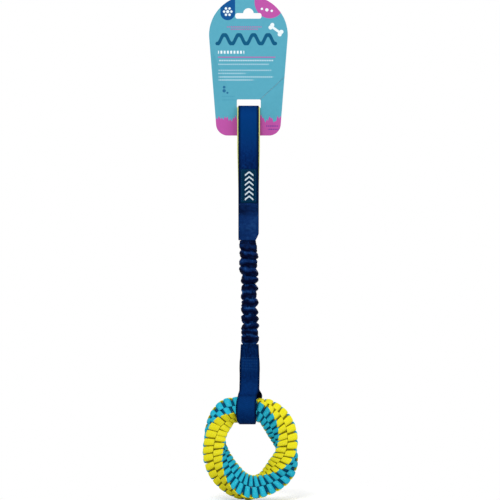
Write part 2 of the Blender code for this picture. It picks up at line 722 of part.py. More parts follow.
def main():
    clear_scene()
    header_card()
    swing = axis_empty("handle_swing_axis", Vector((HANDLE_SHIFT, 0.0, -SLOT_FOOT_DROP)), None)
    bend = axis_empty("bungee_bend_axis", Vector((HANDLE_SHIFT, 0.0, -BEND_DROP)), swing)
    stretch = axis_empty("bungee_stretch_axis", Vector((STRAP_TOP_SHIFT, 0.0, -STRAP_TOP_DROP)), bend)
    turn = axis_empty("ring_turn_axis", Vector((RING_TOP_SHIFT, 0.0, -EYE_DROP)), stretch)
    carry(hand_loop() + sewn_joint(), swing)
    carry(bungee(), bend)
    carry(ring_strap(), stretch)
    carry(plaited_ring(), turn)


main()
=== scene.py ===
import math

import bmesh
import bpy
import numpy as np
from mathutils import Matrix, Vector, noise


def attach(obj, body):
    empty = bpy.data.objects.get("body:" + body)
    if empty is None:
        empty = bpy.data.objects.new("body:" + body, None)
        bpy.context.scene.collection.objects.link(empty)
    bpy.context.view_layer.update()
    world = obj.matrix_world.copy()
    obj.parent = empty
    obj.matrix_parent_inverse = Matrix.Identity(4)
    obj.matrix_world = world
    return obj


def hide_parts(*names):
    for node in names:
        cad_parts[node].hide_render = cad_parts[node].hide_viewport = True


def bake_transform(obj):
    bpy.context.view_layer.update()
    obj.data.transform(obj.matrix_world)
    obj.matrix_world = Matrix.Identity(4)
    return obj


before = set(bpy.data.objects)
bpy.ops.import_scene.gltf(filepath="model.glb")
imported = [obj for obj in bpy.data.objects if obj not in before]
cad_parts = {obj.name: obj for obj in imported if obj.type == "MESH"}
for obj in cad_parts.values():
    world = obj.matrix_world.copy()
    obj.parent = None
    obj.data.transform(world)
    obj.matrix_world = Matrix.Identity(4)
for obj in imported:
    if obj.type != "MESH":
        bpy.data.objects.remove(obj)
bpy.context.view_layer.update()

# Sizes in metres, measured down from the centre of the card's peg slot, as in the part's source
CLEARANCE = 0.0003
CARD_RADIUS = 0.048
CARD_HALF_FOOT = 0.0384
CARD_THICKNESS = 0.0006
CARD_HEAD_LEVEL = -0.0263
CARD_FOOT_LEVEL = -0.149
CARD_CORNER_RADIUS = 0.012
SLIT_START = (0.0119, -0.1071)
SLIT_RISE_DEG = 42.5
# Openings in the card as (left, right), (foot, top) and corner radius
PEG_WINGS = ((-0.016, 0.016), (-0.0064, 0.0004), 0.0027)
PEG_BUMP_RADIUS = 0.0064
STRAP_WINDOW = ((-0.0141, 0.0151), (-0.1155, -0.1049), 0.0014)
CUTTER_DEPTH = 0.01
HANDLE_SHIFT = 0.0002
WEBBING_WIDTH = 0.025
WEBBING_THICKNESS = 0.0015
LINING_WIDTH = 0.0276
LINING_THICKNESS = 0.001
LOOP_INNER_DROP = 0.1152
HEM_DROP = 0.2312
LOOP_FOLD_RADIUS = 0.003
CLOSED_HALF_GAP = 0.00015
LAYER_HALF_GAP = 0.00145
LABEL_WIDTH = 0.0193
LABEL_LENGTH = 0.041
LABEL_THICKNESS = 0.0005
COVER_WIDTH = 0.0248
COVER_THICKNESS = 0.0012
COVER_FOOT_DROP = 0.2766
COVER_CUT_WIDTH = 0.0036
COVER_CUT_HEIGHT = 0.0078
FRONT_END_DROP = 0.2622
BACK_END_DROP = 0.2689
BEND_DROP = 0.2796
NECK_RADIUS = 0.0024
NECK_HALF_WIDTH = 0.0094
NECK_SHIFT = -0.0007
NECK_LENGTH = 0.0032
SLEEVE_LENGTH = 0.1236
SLEEVE_FOOT_DROP = 0.4032
SLEEVE_RADIUS = 0.0104
SLEEVE_DEPTH_SHARE = 0.9
SLEEVE_FOOT_HALF_WIDTH = 0.0078
SLEEVE_FOOT_HALF_DEPTH = 0.0034
CORE_RADIUS = 0.0034
BUNGEE_END_WIDTH = 0.0165
STRAP_TOP_DROP = 0.4035
STRAP_TOP_SHIFT = 0.0016
STRAP_SEWN_LENGTH = 0.033
STRAP_NECK_HEIGHT = 0.035
STRAP_TANGENT_DEG = 30.0
STRAP_HANDLE_SHARE = 0.34
EYE_DROP = 0.4805
EYE_RADIUS = 0.01936
RING_LONG_RADIUS = 0.0492
RING_SHORT_RADIUS = 0.0427
RING_LEAN_DEG = 22.0
RING_TOP_SHIFT = -0.0017
FOLD_COUNT = 34
COLOUR_LINE_DEG = 42.0
RING_STEPS = 1440
# The plait under the strap: its share of its full size, half the width over which it stays so, how far
# it then takes to grow back, and the share of the ring's length to each side of the top that this is for
WAIST_SHARE = 0.89
WAIST_HALF_WIDTH = 0.0175
WAIST_EASE = 0.011
STRAP_SHARE = 0.2
# Half the width beside which folds may stand out of the strap's eye, and the play that they keep in it
STRAP_HALF_WIDTH = 0.016
EYE_PLAY = 0.0005
FLOOR_LEVEL = -0.595
# Where the ring runs a little inside its oval, and where outside, and where the plait is thicker: the
# angle round the ring, the share more or less there, and how far to each side that reaches, in degrees
RING_DENTS = ((313.0, -0.04, 32.0), (256.0, 0.035, 26.0))
PLAIT_SWELLS = ((264.0, 0.10, 34.0), (46.0, 0.05, 24.0))
# Where the plait's twist runs behind its even course, and where ahead: the angle round the ring, the
# twist more or less there and how far to each side that reaches, in degrees
TWIST_DRIFTS = ((301.0, 27.0, 38.0), (142.0, -15.0, 24.0))

# One gather a row, top to bottom: its place along the sleeve, then as shares of the sleeve's radius
# its swell, its drift to the right, how much lower its right side hangs, and the waist below it with
# the waist's drift
GATHER_SHARES = (
    (0.050, 1.01, -0.04, 0.25, 0.84, 0.05),
    (0.120, 1.08, 0.09, 0.34, 0.79, 0.03),
    (0.200, 1.04, 0.00, 0.03, 0.86, -0.04),
    (0.285, 1.09, 0.05, 0.55, 0.72, 0.12),
    (0.372, 1.00, 0.16, -0.10, 0.58, 0.11),
    (0.450, 0.97, 0.16, -0.08, 0.74, 0.09),
    (0.523, 0.90, 0.04, -0.35, 0.68, 0.10),
    (0.595, 0.97, 0.21, -0.18, 0.73, 0.02),
    (0.678, 0.98, 0.16, 0.18, 0.65, 0.18),
    (0.752, 1.00, 0.15, 0.02, 0.66, 0.21),
    (0.832, 1.03, 0.21, -0.30, 0.80, 0.13),
    (0.888, 0.98, 0.16, 0.06, 0.83, 0.17),
    (0.942, 1.03, 0.22, 0.00, 0.78, 0.29),
)


# Tools of the bench

def linear(hex_colour):
    """Turn an sRGB hex colour into the linear values that a shader takes."""
    channels = [int(hex_colour[i:i + 2], 16) / 255 for i in (1, 3, 5)]
    return [c / 12.92 if c <= 0.04045 else ((c + 0.055) / 1.055) ** 2.4 for c in channels] + [1.0]


def out_of(node):
    """The first of a node's outputs that is in use."""
    return next(output for output in node.outputs if output.enabled)


def add(tree, kind, inputs=None, **settings):
    """Add one node with its settings, and link or set its inputs."""
    node = tree.nodes.new(kind)
    for name, value in settings.items():
        setattr(node, name, value)
    for key, value in (inputs or {}).items():
        socket = node.inputs[key]
        if isinstance(value, bpy.types.Node):
            value = out_of(value)
        if isinstance(value, bpy.types.NodeSocket):
            tree.links.new(value, socket)
        else:
            socket.default_value = linear(value) if isinstance(value, str) else value
    return node


def between(stations, share):
    """Read a smooth value at a share from rows of (share, value)."""
    for (low, start), (high, end) in zip(stations, stations[1:]):
        if share <= high:
            turn = (share - low) / (high - low)
            return start + (end - start) * (1 - math.cos(math.pi * turn)) / 2
    return stations[-1][1]


def ripple(x, y, z):
    """Smooth noise at a place, from -1 to 1."""
    return noise.noise((x, y, z))


def take(piece):
    """Select the piece alone, and make it the one that is worked on."""
    bpy.ops.object.select_all(action="DESELECT")
    piece.select_set(True)
    bpy.context.view_layer.objects.active = piece


def begin(name):
    """Name the primitive just added, and open it for editing."""
    piece = bpy.context.object
    piece.name = name
    piece.data.name = name
    bpy.ops.object.mode_set(mode="EDIT")
    return piece


def begin_block(name, size, centre):
    """Start a block of a size at a place, and leave it open for editing."""
    bpy.ops.object.select_all(action="DESELECT")
    bpy.ops.mesh.primitive_cube_add(size=1.0)
    piece = begin(name)
    bpy.ops.mesh.select_all(action="SELECT")
    bpy.ops.transform.resize(value=size)
    bpy.ops.transform.translate(value=centre)
    return piece


def pick(piece, test):
    """Select the points that pass the test, with the edges and faces between them."""
    bpy.ops.mesh.select_all(action="DESELECT")
    work = bmesh.from_edit_mesh(piece.data)
    for point in work.verts:
        point.select_set(test(point))
    work.select_flush(True)
    bmesh.update_edit_mesh(piece.data)


def pick_edges(piece, test):
    """Select the edges that pass the test."""
    bpy.ops.mesh.select_mode(type="EDGE")
    bpy.ops.mesh.select_all(action="DESELECT")
    work = bmesh.from_edit_mesh(piece.data)
    for edge in work.edges:
        edge.select_set(bool(test(edge)))
    bmesh.update_edit_mesh(piece.data)


def put_down():
    """Leave edit mode, and put the piece's place and size into its mesh."""
    bpy.ops.object.mode_set(mode="OBJECT")
    bpy.ops.object.transform_apply(location=True, rotation=True, scale=True)


def modify(piece, kind, **settings):
    """Give the piece a modifier and apply it."""
    step = piece.modifiers.new(kind.lower(), kind)
    for name, value in settings.items():
        setattr(step, name, value)
    take(piece)
    bpy.ops.object.modifier_apply(modifier=step.name)


def round_edges(piece, width, degrees=55.0, segments=2):
    """Round the edges that are sharper than an angle."""
    modify(piece, "BEVEL", width=width, segments=segments, limit_method="ANGLE",
           angle_limit=math.radians(degrees))


def smooth(piece, degrees):
    """Shade the piece smooth over all but its sharp edges."""
    take(piece)
    bpy.ops.object.shade_smooth_by_angle(angle=math.radians(degrees))


def hand_over(piece, body, finish, slot, *nodes):
    """Give the finished piece its material and its body, and hide the nodes that it stands for."""
    piece.data.materials.clear()
    piece.data.materials.append(finish)
    if body:
        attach(piece, body)
    if nodes:
        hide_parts(*nodes)


# Materials

def surface(name, roughness, sheen=0.0, sheen_tint="#FFFFFF"):
    """Start a material: its tree and its shader."""
    material = bpy.data.materials.new(name)
    material.use_nodes = True
    shader = material.node_tree.nodes["Principled BSDF"]
    shader.inputs["Roughness"].default_value = roughness
    shader.inputs["Sheen Weight"].default_value = sheen
    shader.inputs["Sheen Roughness"].default_value = 0.4
    shader.inputs["Sheen Tint"].default_value = linear(sheen_tint)
    return material, material.node_tree, shader


def dress(tree, shader, colour, height, strength, distance):
    """Give the shader its colour, and a relief from the heights of the surface."""
    relief = add(tree, "ShaderNodeBump", {"Height": height, "Strength": strength, "Distance": distance})
    tree.links.new(out_of(colour), shader.inputs["Base Color"])
    tree.links.new(out_of(relief), shader.inputs["Normal"])


def place_in_mm(tree):
    """Places on a flat upright piece as seen from the front, in millimetres."""
    coordinates = add(tree, "ShaderNodeTexCoord")
    return add(tree, "ShaderNodeVectorMath", {0: coordinates.outputs["Object"], 1: (1000.0, 0.0, 1000.0)},
               operation="MULTIPLY")


def within(tree, value, middle, half):
    """Mask of the values that lie nearer to a middle than half a width."""
    off = add(tree, "ShaderNodeMath", {0: value, 1: middle}, operation="SUBTRACT")
    off = add(tree, "ShaderNodeMath", {0: off}, operation="ABSOLUTE")
    return add(tree, "ShaderNodeMath", {0: off, 1: half}, operation="LESS_THAN")


def spot(tree, place, x, z, radius):
    """Mask of a round printed spot, in millimetres."""
    far = add(tree, "ShaderNodeVectorMath", {0: place, 1: (x, 0.0, z)}, operation="DISTANCE")
    return add(tree, "ShaderNodeMath", {0: far, 1: radius}, operation="LESS_THAN")


def dash_row(tree, place, left, right, level, height, pitch, full):
    """Mask of a printed row of short dashes between two ends, in millimetres."""
    middle = ((left + right) / 2, 0.0, level)
    moved = add(tree, "ShaderNodeVectorMath", {0: place, 1: middle}, operation="SUBTRACT")
    split = add(tree, "ShaderNodeSeparateXYZ", {0: moved})
    inside = within(tree, split.outputs["X"], 0.0, (right - left) / 2)
    level_with = within(tree, split.outputs["Z"], 0.0, height / 2)
    swing = add(tree, "ShaderNodeMath", {0: split.outputs["X"], 1: pitch / 2}, operation="PINGPONG")
    inked = add(tree, "ShaderNodeMath", {0: swing, 1: pitch / 2 * full}, operation="LESS_THAN")
    both = add(tree, "ShaderNodeMath", {0: inside, 1: level_with}, operation="MULTIPLY")
    return add(tree, "ShaderNodeMath", {0: both, 1: inked}, operation="MULTIPLY")


def foot_band(tree, x, z):
    """Mask of the print's foot band, with a ragged edge as of grass."""
    broad = add(tree, "ShaderNodeMath", {0: x, 1: 5.3}, operation="PINGPONG")
    fine = add(tree, "ShaderNodeMath", {0: x, 1: 1.7}, operation="PINGPONG")
    sway = add(tree, "ShaderNodeTexNoise", {"W": x, "Scale": 0.11, "Detail": 2.0}, noise_dimensions="1D")
    edge = add(tree, "ShaderNodeMath", {0: broad, 1: 1.0, 2: -140.0}, operation="MULTIPLY_ADD")
    edge = add(tree, "ShaderNodeMath", {0: fine, 1: 2.2, 2: edge}, operation="MULTIPLY_ADD")
    edge = add(tree, "ShaderNodeMath", {0: sway, 1: 14.0, 2: edge}, operation="MULTIPLY_ADD")
    return add(tree, "ShaderNodeMath", {0: z, 1: edge}, operation="LESS_THAN")


def round_tab(tree, place, x, z, centre, level, half_width):
    """Mask of a tab that hangs from the card's top edge and ends in a half round."""
    foot = spot(tree, place, centre, level, half_width)
    column = within(tree, x, centre, half_width)
    above = add(tree, "ShaderNodeMath", {0: z, 1: level}, operation="GREATER_THAN")
    column = add(tree, "ShaderNodeMath", {0: column, 1: above}, operation="MULTIPLY")
    return add(tree, "ShaderNodeMath", {0: foot, 1: column}, operation="MAXIMUM")


def wave(tree, x, z, length, rise, level, half_stroke):
    """Mask of a broad wave of even stroke across the card's head, in millimetres."""
    swing = add(tree, "ShaderNodeMath", {0: x, 1: 2 * math.pi / length, 2: -0.65}, operation="MULTIPLY_ADD")
    crest = add(tree, "ShaderNodeMath", {0: swing}, operation="SINE")
    lift = add(tree, "ShaderNodeMath", {0: crest, 1: rise, 2: level}, operation="MULTIPLY_ADD")
    slope = add(tree, "ShaderNodeMath", {0: swing}, operation="COSINE")
    slope = add(tree, "ShaderNodeMath", {0: slope, 1: rise * 2 * math.pi / length}, operation="MULTIPLY")
    steep = add(tree, "ShaderNodeMath", {0: slope, 1: slope, 2: 1.0}, operation="MULTIPLY_ADD")
    steep = add(tree, "ShaderNodeMath", {0: steep, 1: 0.5}, operation="POWER")
    off = add(tree, "ShaderNodeMath", {0: z, 1: lift}, operation="SUBTRACT")
    off = add(tree, "ShaderNodeMath", {0: off}, operation="ABSOLUTE")
    off = add(tree, "ShaderNodeMath", {0: off, 1: steep}, operation="DIVIDE")
    stroke = add(tree, "ShaderNodeMath", {0: off, 1: half_stroke}, operation="LESS_THAN")
    reach = within(tree, x, -2.6, 2 * length)
    return add(tree, "ShaderNodeMath", {0: stroke, 1: reach}, operation="MULTIPLY")


def slit_painted_shadow(tree, x, z):
    """Mask of a painted shadow along the slit, so that the cut shows as a thin dark line."""
    rise = math.radians(SLIT_RISE_DEG)
    off = add(tree, "ShaderNodeMath", {0: x, 1: math.sin(rise)}, operation="MULTIPLY")
    off = add(tree, "ShaderNodeMath", {0: z, 1: -math.cos(rise), 2: off}, operation="MULTIPLY_ADD")
    start = SLIT_START[0] * math.sin(rise) - SLIT_START[1] * math.cos(rise)
    near = within(tree, off, start * 1000, 0.45)
    past = add(tree, "ShaderNodeMath", {0: x, 1: SLIT_START[0] * 1000}, operation="GREATER_THAN")
    return add(tree, "ShaderNodeMath", {0: near, 1: past}, operation="MULTIPLY")


# Printed rows of dashes and rules, in millimetres: left and right end, level, height, pitch, the share of
# the pitch that is inked, and the ink
PRINTED_ROWS = (
    (-26.0, 16.0, -16.5, 1.3, 2.6, 0.6, "#B953A3"), (-22.0, 12.0, -19.3, 1.3, 2.6, 0.6, "#B953A3"),
    (-37.0, -5.0, -47.3, 3.6, 4.0, 0.55, "#E4F0F4"), (-37.0, 33.0, -53.4, 1.1, 200.0, 1.0, "#B953A3"),
    (-36.5, 31.0, -57.4, 1.7, 2.9, 0.6, "#C9E2EA"), (-36.5, 24.5, -62.1, 1.5, 2.5, 0.5, "#BCDCE6"),
    (-36.5, 28.0, -69.4, 1.5, 2.6, 0.52, "#BCDCE6"), (-36.5, -4.0, -73.2, 1.5, 2.6, 0.5, "#BCDCE6"),
    (-36.5, 30.0, -77.5, 1.6, 2.4, 0.54, "#C4E0E9"), (-36.5, 6.0, -81.2, 1.5, 2.4, 0.54, "#C4E0E9"),
    (-32.0, -17.0, -101.2, 1.3, 2.4, 0.5, "#4795B2"), (-32.0, -17.0, -105.5, 1.3, 2.4, 0.5, "#4795B2"),
    (21.0, 37.0, -137.4, 1.5, 2.2, 0.6, "#6B3A92"), (24.0, 37.0, -141.4, 1.4, 2.2, 0.6, "#6B3A92"))


def printed_spots():
    """Spots of the print as (x, z, radius, ink) in millimetres."""
    white, wave_ink, pale_navy = "#E4F0F4", "#06567C", "#2A6C95"
    # A daisy on the navy tab
    daisy = (-25.2, 2.2)
    spots = []
    for petal in range(6):
        turn = math.pi * petal / 3
        spots.append((daisy[0] + 4.4 * math.cos(turn), daisy[1] + 4.4 * math.sin(turn), 1.5, white))
    spots.append((*daisy, 1.9, white))
    # Three spots on the magenta patch
    spots += [(16.5 + 6.0 * step, 5.5 - 1.2 * step, size, white) for step, size in enumerate((1.5, 2.0, 1.5))]
    # The wave's round ends
    spots += [(-38.1, -36.7, 2.2, wave_ink), (32.9, -36.7, 2.2, wave_ink)]
    # A bone to the right of the wave: its shaft, and two knobs at each end
    spots += [(28.6 + 1.7 * step, -16.2 - 1.25 * step, 1.6, white) for step in range(7)]
    spots += [(27.0, -17.2, 2.5, white), (29.2, -14.0, 2.5, white), (38.2, -25.6, 2.5, white),
              (40.3, -22.4, 2.5, white)]
    # Three small ones below the rows
    spots += [(-29.6, -90.0, 1.7, pale_navy), (-29.6, -94.4, 2.1, pale_navy), (-25.6, -96.8, 1.3, pale_navy)]
    return spots


def printed_board():
    """Coated carton board, offset printed: flat clean inks with a slight gloss over a pale core.

    The layout is a plain one: a wave, spots and rows of dashes in the colours of such a card.
    """
    material, tree, shader = surface("printed_carton_board", 0.5)
    shader.inputs["Specular IOR Level"].default_value = 0.08
    place = place_in_mm(tree)
    split = add(tree, "ShaderNodeSeparateXYZ", {0: place})
    x, z = split.outputs["X"], split.outputs["Z"]

    magenta = "#B953A3"
    squeezed = add(tree, "ShaderNodeVectorMath", {0: place, 1: (1.0 / 18.5, 0.0, 1.0 / 20.0)},
                   operation="MULTIPLY")
    layers = [(foot_band(tree, x, z), magenta),
              (round_tab(tree, place, x, z, -25.2, 0.7, 9.0), "#06508F"),
              (spot(tree, squeezed, 26.0 / 18.5, 14.0 / 20.0, 1.0), magenta),
              (wave(tree, x, z, 17.75, 5.2, -31.5, 2.2), "#06567C")]
    layers += [(spot(tree, place, *where), ink) for *where, ink in printed_spots()]
    layers += [(dash_row(tree, place, *row), ink) for *row, ink in PRINTED_ROWS]
    # Painted shadow along the slit's cut
    layers.append((slit_painted_shadow(tree, x, z), "#3F8097"))

    # Inks lie a little uneven on the board, on a grain of about 4 mm
    mottle = add(tree, "ShaderNodeTexNoise", {"Vector": place, "Scale": 0.25, "Detail": 3.0})
    colour = add(tree, "ShaderNodeMix", {"Factor": mottle, "A": "#51A1B8", "B": "#5AA9BF"}, data_type="RGBA")
    for mask, ink in layers:
        colour = add(tree, "ShaderNodeMix", {"Factor": mask, "A": colour, "B": ink}, data_type="RGBA")

    # The back is plain and the cut edges show the board's pale core
    facing = add(tree, "ShaderNodeNewGeometry")
    facing = add(tree, "ShaderNodeSeparateXYZ", {0: facing.outputs["Normal"]})
    front = add(tree, "ShaderNodeMath", {0: facing.outputs["Y"], 1: -0.5}, operation="LESS_THAN")
    back = add(tree, "ShaderNodeMath", {0: facing.outputs["Y"], 1: 0.5}, operation="GREATER_THAN")
    bare = add(tree, "ShaderNodeMix", {"Factor": back, "A": "#F1F0EC", "B": "#E4E6E3"}, data_type="RGBA")
    whole = add(tree, "ShaderNodeMix", {"Factor": front, "A": bare, "B": colour}, data_type="RGBA")
    grain = add(tree, "ShaderNodeTexNoise", {"Vector": place, "Scale": 2.5, "Detail": 2.0})
    dress(tree, shader, whole, grain, 0.08, 0.0002)
    return material


def thread_floats(tree, place, float_mm, row_mm, turn_every, step):
    """Heights from 0 to 1 of a weave's thread floats, and a chance value for each float.

    The floats lie end to end in columns, each column a step on from the last. The step turns back every
    few columns, so that the floats lie in chevrons.
    """
    split = add(tree, "ShaderNodeSeparateXYZ", {0: place})
    across = add(tree, "ShaderNodeMath", {0: split.outputs["X"], 1: row_mm}, operation="DIVIDE")
    column = add(tree, "ShaderNodeMath", {0: across}, operation="FLOOR")
    swing = add(tree, "ShaderNodeMath", {0: column, 1: turn_every}, operation="PINGPONG")
    along = add(tree, "ShaderNodeMath", {0: split.outputs["Y"], 1: float_mm}, operation="DIVIDE")
    along = add(tree, "ShaderNodeMath", {0: swing, 1: step, 2: along}, operation="MULTIPLY_ADD")
    number = add(tree, "ShaderNodeMath", {0: along}, operation="FLOOR")
    side = add(tree, "ShaderNodeMath", {0: across, 1: 0.5}, operation="PINGPONG")
    end = add(tree, "ShaderNodeMath", {0: along, 1: 0.5}, operation="PINGPONG")
    both = add(tree, "ShaderNodeMath", {0: side, 1: end}, operation="MULTIPLY")
    both = add(tree, "ShaderNodeMath", {0: both, 1: 4.0}, operation="MULTIPLY")
    height = add(tree, "ShaderNodeMath", {0: both, 1: 0.3}, operation="POWER")
    pair = add(tree, "ShaderNodeCombineXYZ", {0: column, 1: number})
    chance = add(tree, "ShaderNodeTexWhiteNoise", {"Vector": pair}, noise_dimensions="2D")
    return height, chance


def woven(name, base, shade, glint, float_mm, row_mm, roughness, sheen=0.0, turn_every=4.0, step=0.25,
          relief=0.5, painted_shading=None, edge_mm=None, painted_shade=None, figure=None):
    """A weave on the piece's own UV map in metres: floats of thread in columns along the strip.

    The second colour is painted shade, darkening the weave between the floats, and glint the worn crowns
    of some of them. Rows of (height, colour), where given, take the place of the base along the piece as
    painted light and shade. Past edge_mm from its middle line the edges are darkened with painted shade.
    A pair of colours, where given, is painted shade in folds and farther down in them, where the piece's
    own attribute marks them, and figure gives the mask of a pattern woven in white.
    """
    material, tree, shader = surface(name, roughness, sheen, glint)
    shader.inputs["Specular IOR Level"].default_value = 0.012
    along = add(tree, "ShaderNodeUVMap", uv_map="weave")
    place = add(tree, "ShaderNodeMapping", {"Vector": along, "Scale": (1000.0, 1000.0, 1000.0)})
    height, chance = thread_floats(tree, place, float_mm, row_mm, turn_every, step)
    # Painted light and shade: bands of colour by height take the place of the base
    if painted_shading:
        coordinates = add(tree, "ShaderNodeTexCoord")
        level = add(tree, "ShaderNodeSeparateXYZ", {0: coordinates.outputs["Object"]})
        low, high = painted_shading[0][0], painted_shading[-1][0]
        share = add(tree, "ShaderNodeMapRange", {0: level.outputs["Z"], 1: low, 2: high})
        base = add(tree, "ShaderNodeValToRGB", {0: share})
        steps = base.color_ramp.elements
        while len(steps) < len(painted_shading):
            steps.new(0.5)
        for element, (drop, tint) in zip(steps, painted_shading):
            element.position = (drop - low) / (high - low)
            element.color = linear(tint)
    slow = add(tree, "ShaderNodeTexNoise", {"Vector": place, "Scale": 0.13, "Detail": 4.0})
    worn = add(tree, "ShaderNodeMath", {0: slow, 1: chance}, operation="MULTIPLY")
    crowns = add(tree, "ShaderNodeMix", {"Factor": worn, "A": base, "B": glint}, data_type="RGBA")
    # Painted shade: the colour darkens between the thread floats, in the weave's hollows
    painted_gap_shade_share = add(tree, "ShaderNodeMath", {0: height, 1: -0.55, 2: 0.55}, operation="MULTIPLY_ADD")
    colour = add(tree, "ShaderNodeMix", {"Factor": painted_gap_shade_share, "A": crowns, "B": shade}, data_type="RGBA")
    # Painted shade: the edges are darkened where the webbing turns away
    if edge_mm:
        edge = edge_mm / 1000
        across = add(tree, "ShaderNodeSeparateXYZ", {0: along})
        aside = add(tree, "ShaderNodeMath", {0: across.outputs["X"]}, operation="ABSOLUTE")
        hem = add(tree, "ShaderNodeMapRange", {0: aside, 1: edge - 0.0036, 2: edge, 3: 0.0, 4: 0.9},
                  interpolation_type="SMOOTHSTEP")
        colour = add(tree, "ShaderNodeMix", {"Factor": hem, "A": colour, "B": "#040B20"}, data_type="RGBA")
    # Painted shade: colours painted into folds, where the piece's attribute marks them
    if painted_shade:
        marked = add(tree, "ShaderNodeAttribute", attribute_name="painted_shade")
        for start, tint in zip((0.0, 0.5), painted_shade):
            down = add(tree, "ShaderNodeMapRange", {0: marked.outputs["Fac"], 1: start, 2: start + 0.5})
            colour = add(tree, "ShaderNodeMix", {"Factor": down, "A": colour, "B": tint}, data_type="RGBA")
    if figure:
        shown = figure(tree)
        colour = add(tree, "ShaderNodeMix", {"Factor": shown, "A": colour, "B": "#C9D9E2"}, data_type="RGBA")
    dress(tree, shader, colour, height, relief, row_mm * 0.0003)
    return material


def gathered_cloth():
    """Thin nylon cloth: a little gloss on its folds, painted light where it lies flat and painted shade near
    black down in the gathers, as the piece's own tone says, with a fine rib of its threads.
    """
    material, tree, shader = surface("thin_nylon_cloth", 0.5)
    shader.inputs["Specular IOR Level"].default_value = 0.02
    tone = add(tree, "ShaderNodeAttribute", attribute_name="tone")
    along = add(tree, "ShaderNodeUVMap", uv_map="weave")
    threads = add(tree, "ShaderNodeMapping", {"Vector": along, "Scale": (1000.0, 1000.0, 1000.0)})
    rib = add(tree, "ShaderNodeTexWave", {"Vector": threads, "Scale": 0.9, "Distortion": 1.2, "Detail": 2.0})
    worn = add(tree, "ShaderNodeTexNoise", {"Vector": threads, "Scale": 0.35, "Detail": 5.0})
    mixed = add(tree, "ShaderNodeMath", {0: worn, 1: 0.24, 2: tone.outputs["Fac"]}, operation="MULTIPLY_ADD")
    mixed = add(tree, "ShaderNodeMath", {0: mixed, 1: 0.12}, operation="SUBTRACT")
    # Painted light and shade: the tone runs from near black to light blue
    painted_shading_ramp = add(tree, "ShaderNodeValToRGB", {0: mixed})
    steps = painted_shading_ramp.color_ramp.elements
    steps.new(0.4)
    for step, (level, tint) in zip(steps, ((0.0, "#00031F"), (0.45, "#0A2B60"), (1.0, "#2A5B92"))):
        step.position = level
        step.color = linear(tint)
    dress(tree, shader, painted_shading_ramp, rib.outputs["Fac"], 0.25, 0.0001)
    return material


def chevrons(tree):
    """Mask of a column of chevrons, as if floated in the label in white thread, in millimetres."""
    pitch, middle, half_width, half_height = 5.9, (0.9, -210.5), 5.2, 17.5
    split = add(tree, "ShaderNodeSeparateXYZ", {0: place_in_mm(tree)})
    x, z = split.outputs["X"], split.outputs["Z"]
    aside = add(tree, "ShaderNodeMath", {0: x, 1: middle[0]}, operation="SUBTRACT")
    aside = add(tree, "ShaderNodeMath", {0: aside}, operation="ABSOLUTE")
    rise = add(tree, "ShaderNodeMath", {0: aside, 1: 0.8, 2: z}, operation="MULTIPLY_ADD")
    rise = add(tree, "ShaderNodeMath", {0: rise, 1: 1 / pitch}, operation="MULTIPLY")
    rise = add(tree, "ShaderNodeMath", {0: rise}, operation="FRACT")
    mask = add(tree, "ShaderNodeMath", {0: rise, 1: 0.36}, operation="LESS_THAN")
    for inside in (within(tree, x, middle[0], half_width), within(tree, z, middle[1], half_height)):
        mask = add(tree, "ShaderNodeMath", {0: mask, 1: inside}, operation="MULTIPLY")
    return mask


def mark(piece, name, values):
    """Store one number a point on the piece, for its material to read."""
    layer = piece.data.attributes.get(name) or piece.data.attributes.new(name, "FLOAT", "POINT")
    layer.data.foreach_set("value", np.asarray(values, dtype=np.float32))


def lay_weave(piece):
    """Give a flat upright piece the UV map of its cloth: across and down, in metres."""
    layers = piece.data.uv_layers
    weave = layers[0] if layers else layers.new(name="weave")
    weave.name = "weave"
    for corner in piece.data.loops:
        point = piece.data.vertices[corner.vertex_index].co
        weave.data[corner.index].uv = (point[0] - HANDLE_SHIFT, point[2])


# Hang card

def carve(piece, cutter, operation="DIFFERENCE"):
    """Cut a shape out of the piece, or join it on, and take the shape away."""
    modify(piece, "BOOLEAN", operation=operation, solver="EXACT", object=cutter)
    bpy.data.objects.remove(cutter)


def board_cutter(name, x_range, z_range, corner_radius):
    """A block that stands across the card, with its four upright corners rounded."""
    piece = begin_block(name, (x_range[1] - x_range[0], CUTTER_DEPTH, z_range[1] - z_range[0]),
                        (sum(x_range) / 2, 0.0, sum(z_range) / 2))
    pick_edges(piece, lambda edge: abs(edge.verts[0].co[1] - edge.verts[1].co[1]) > CUTTER_DEPTH / 2)
    bpy.ops.mesh.bevel(offset=corner_radius, segments=10, affect="EDGES")
    put_down()
    return piece


def round_block(name, radius, z, depth, sides):
    """A short round bar that stands across the card."""
    bpy.ops.object.select_all(action="DESELECT")
    bpy.ops.mesh.primitive_cylinder_add(vertices=sides, radius=radius, depth=depth,
                                        location=(0.0, 0.0, z), rotation=(math.pi / 2, 0.0, 0.0))
    piece = begin(name)
    put_down()
    return piece


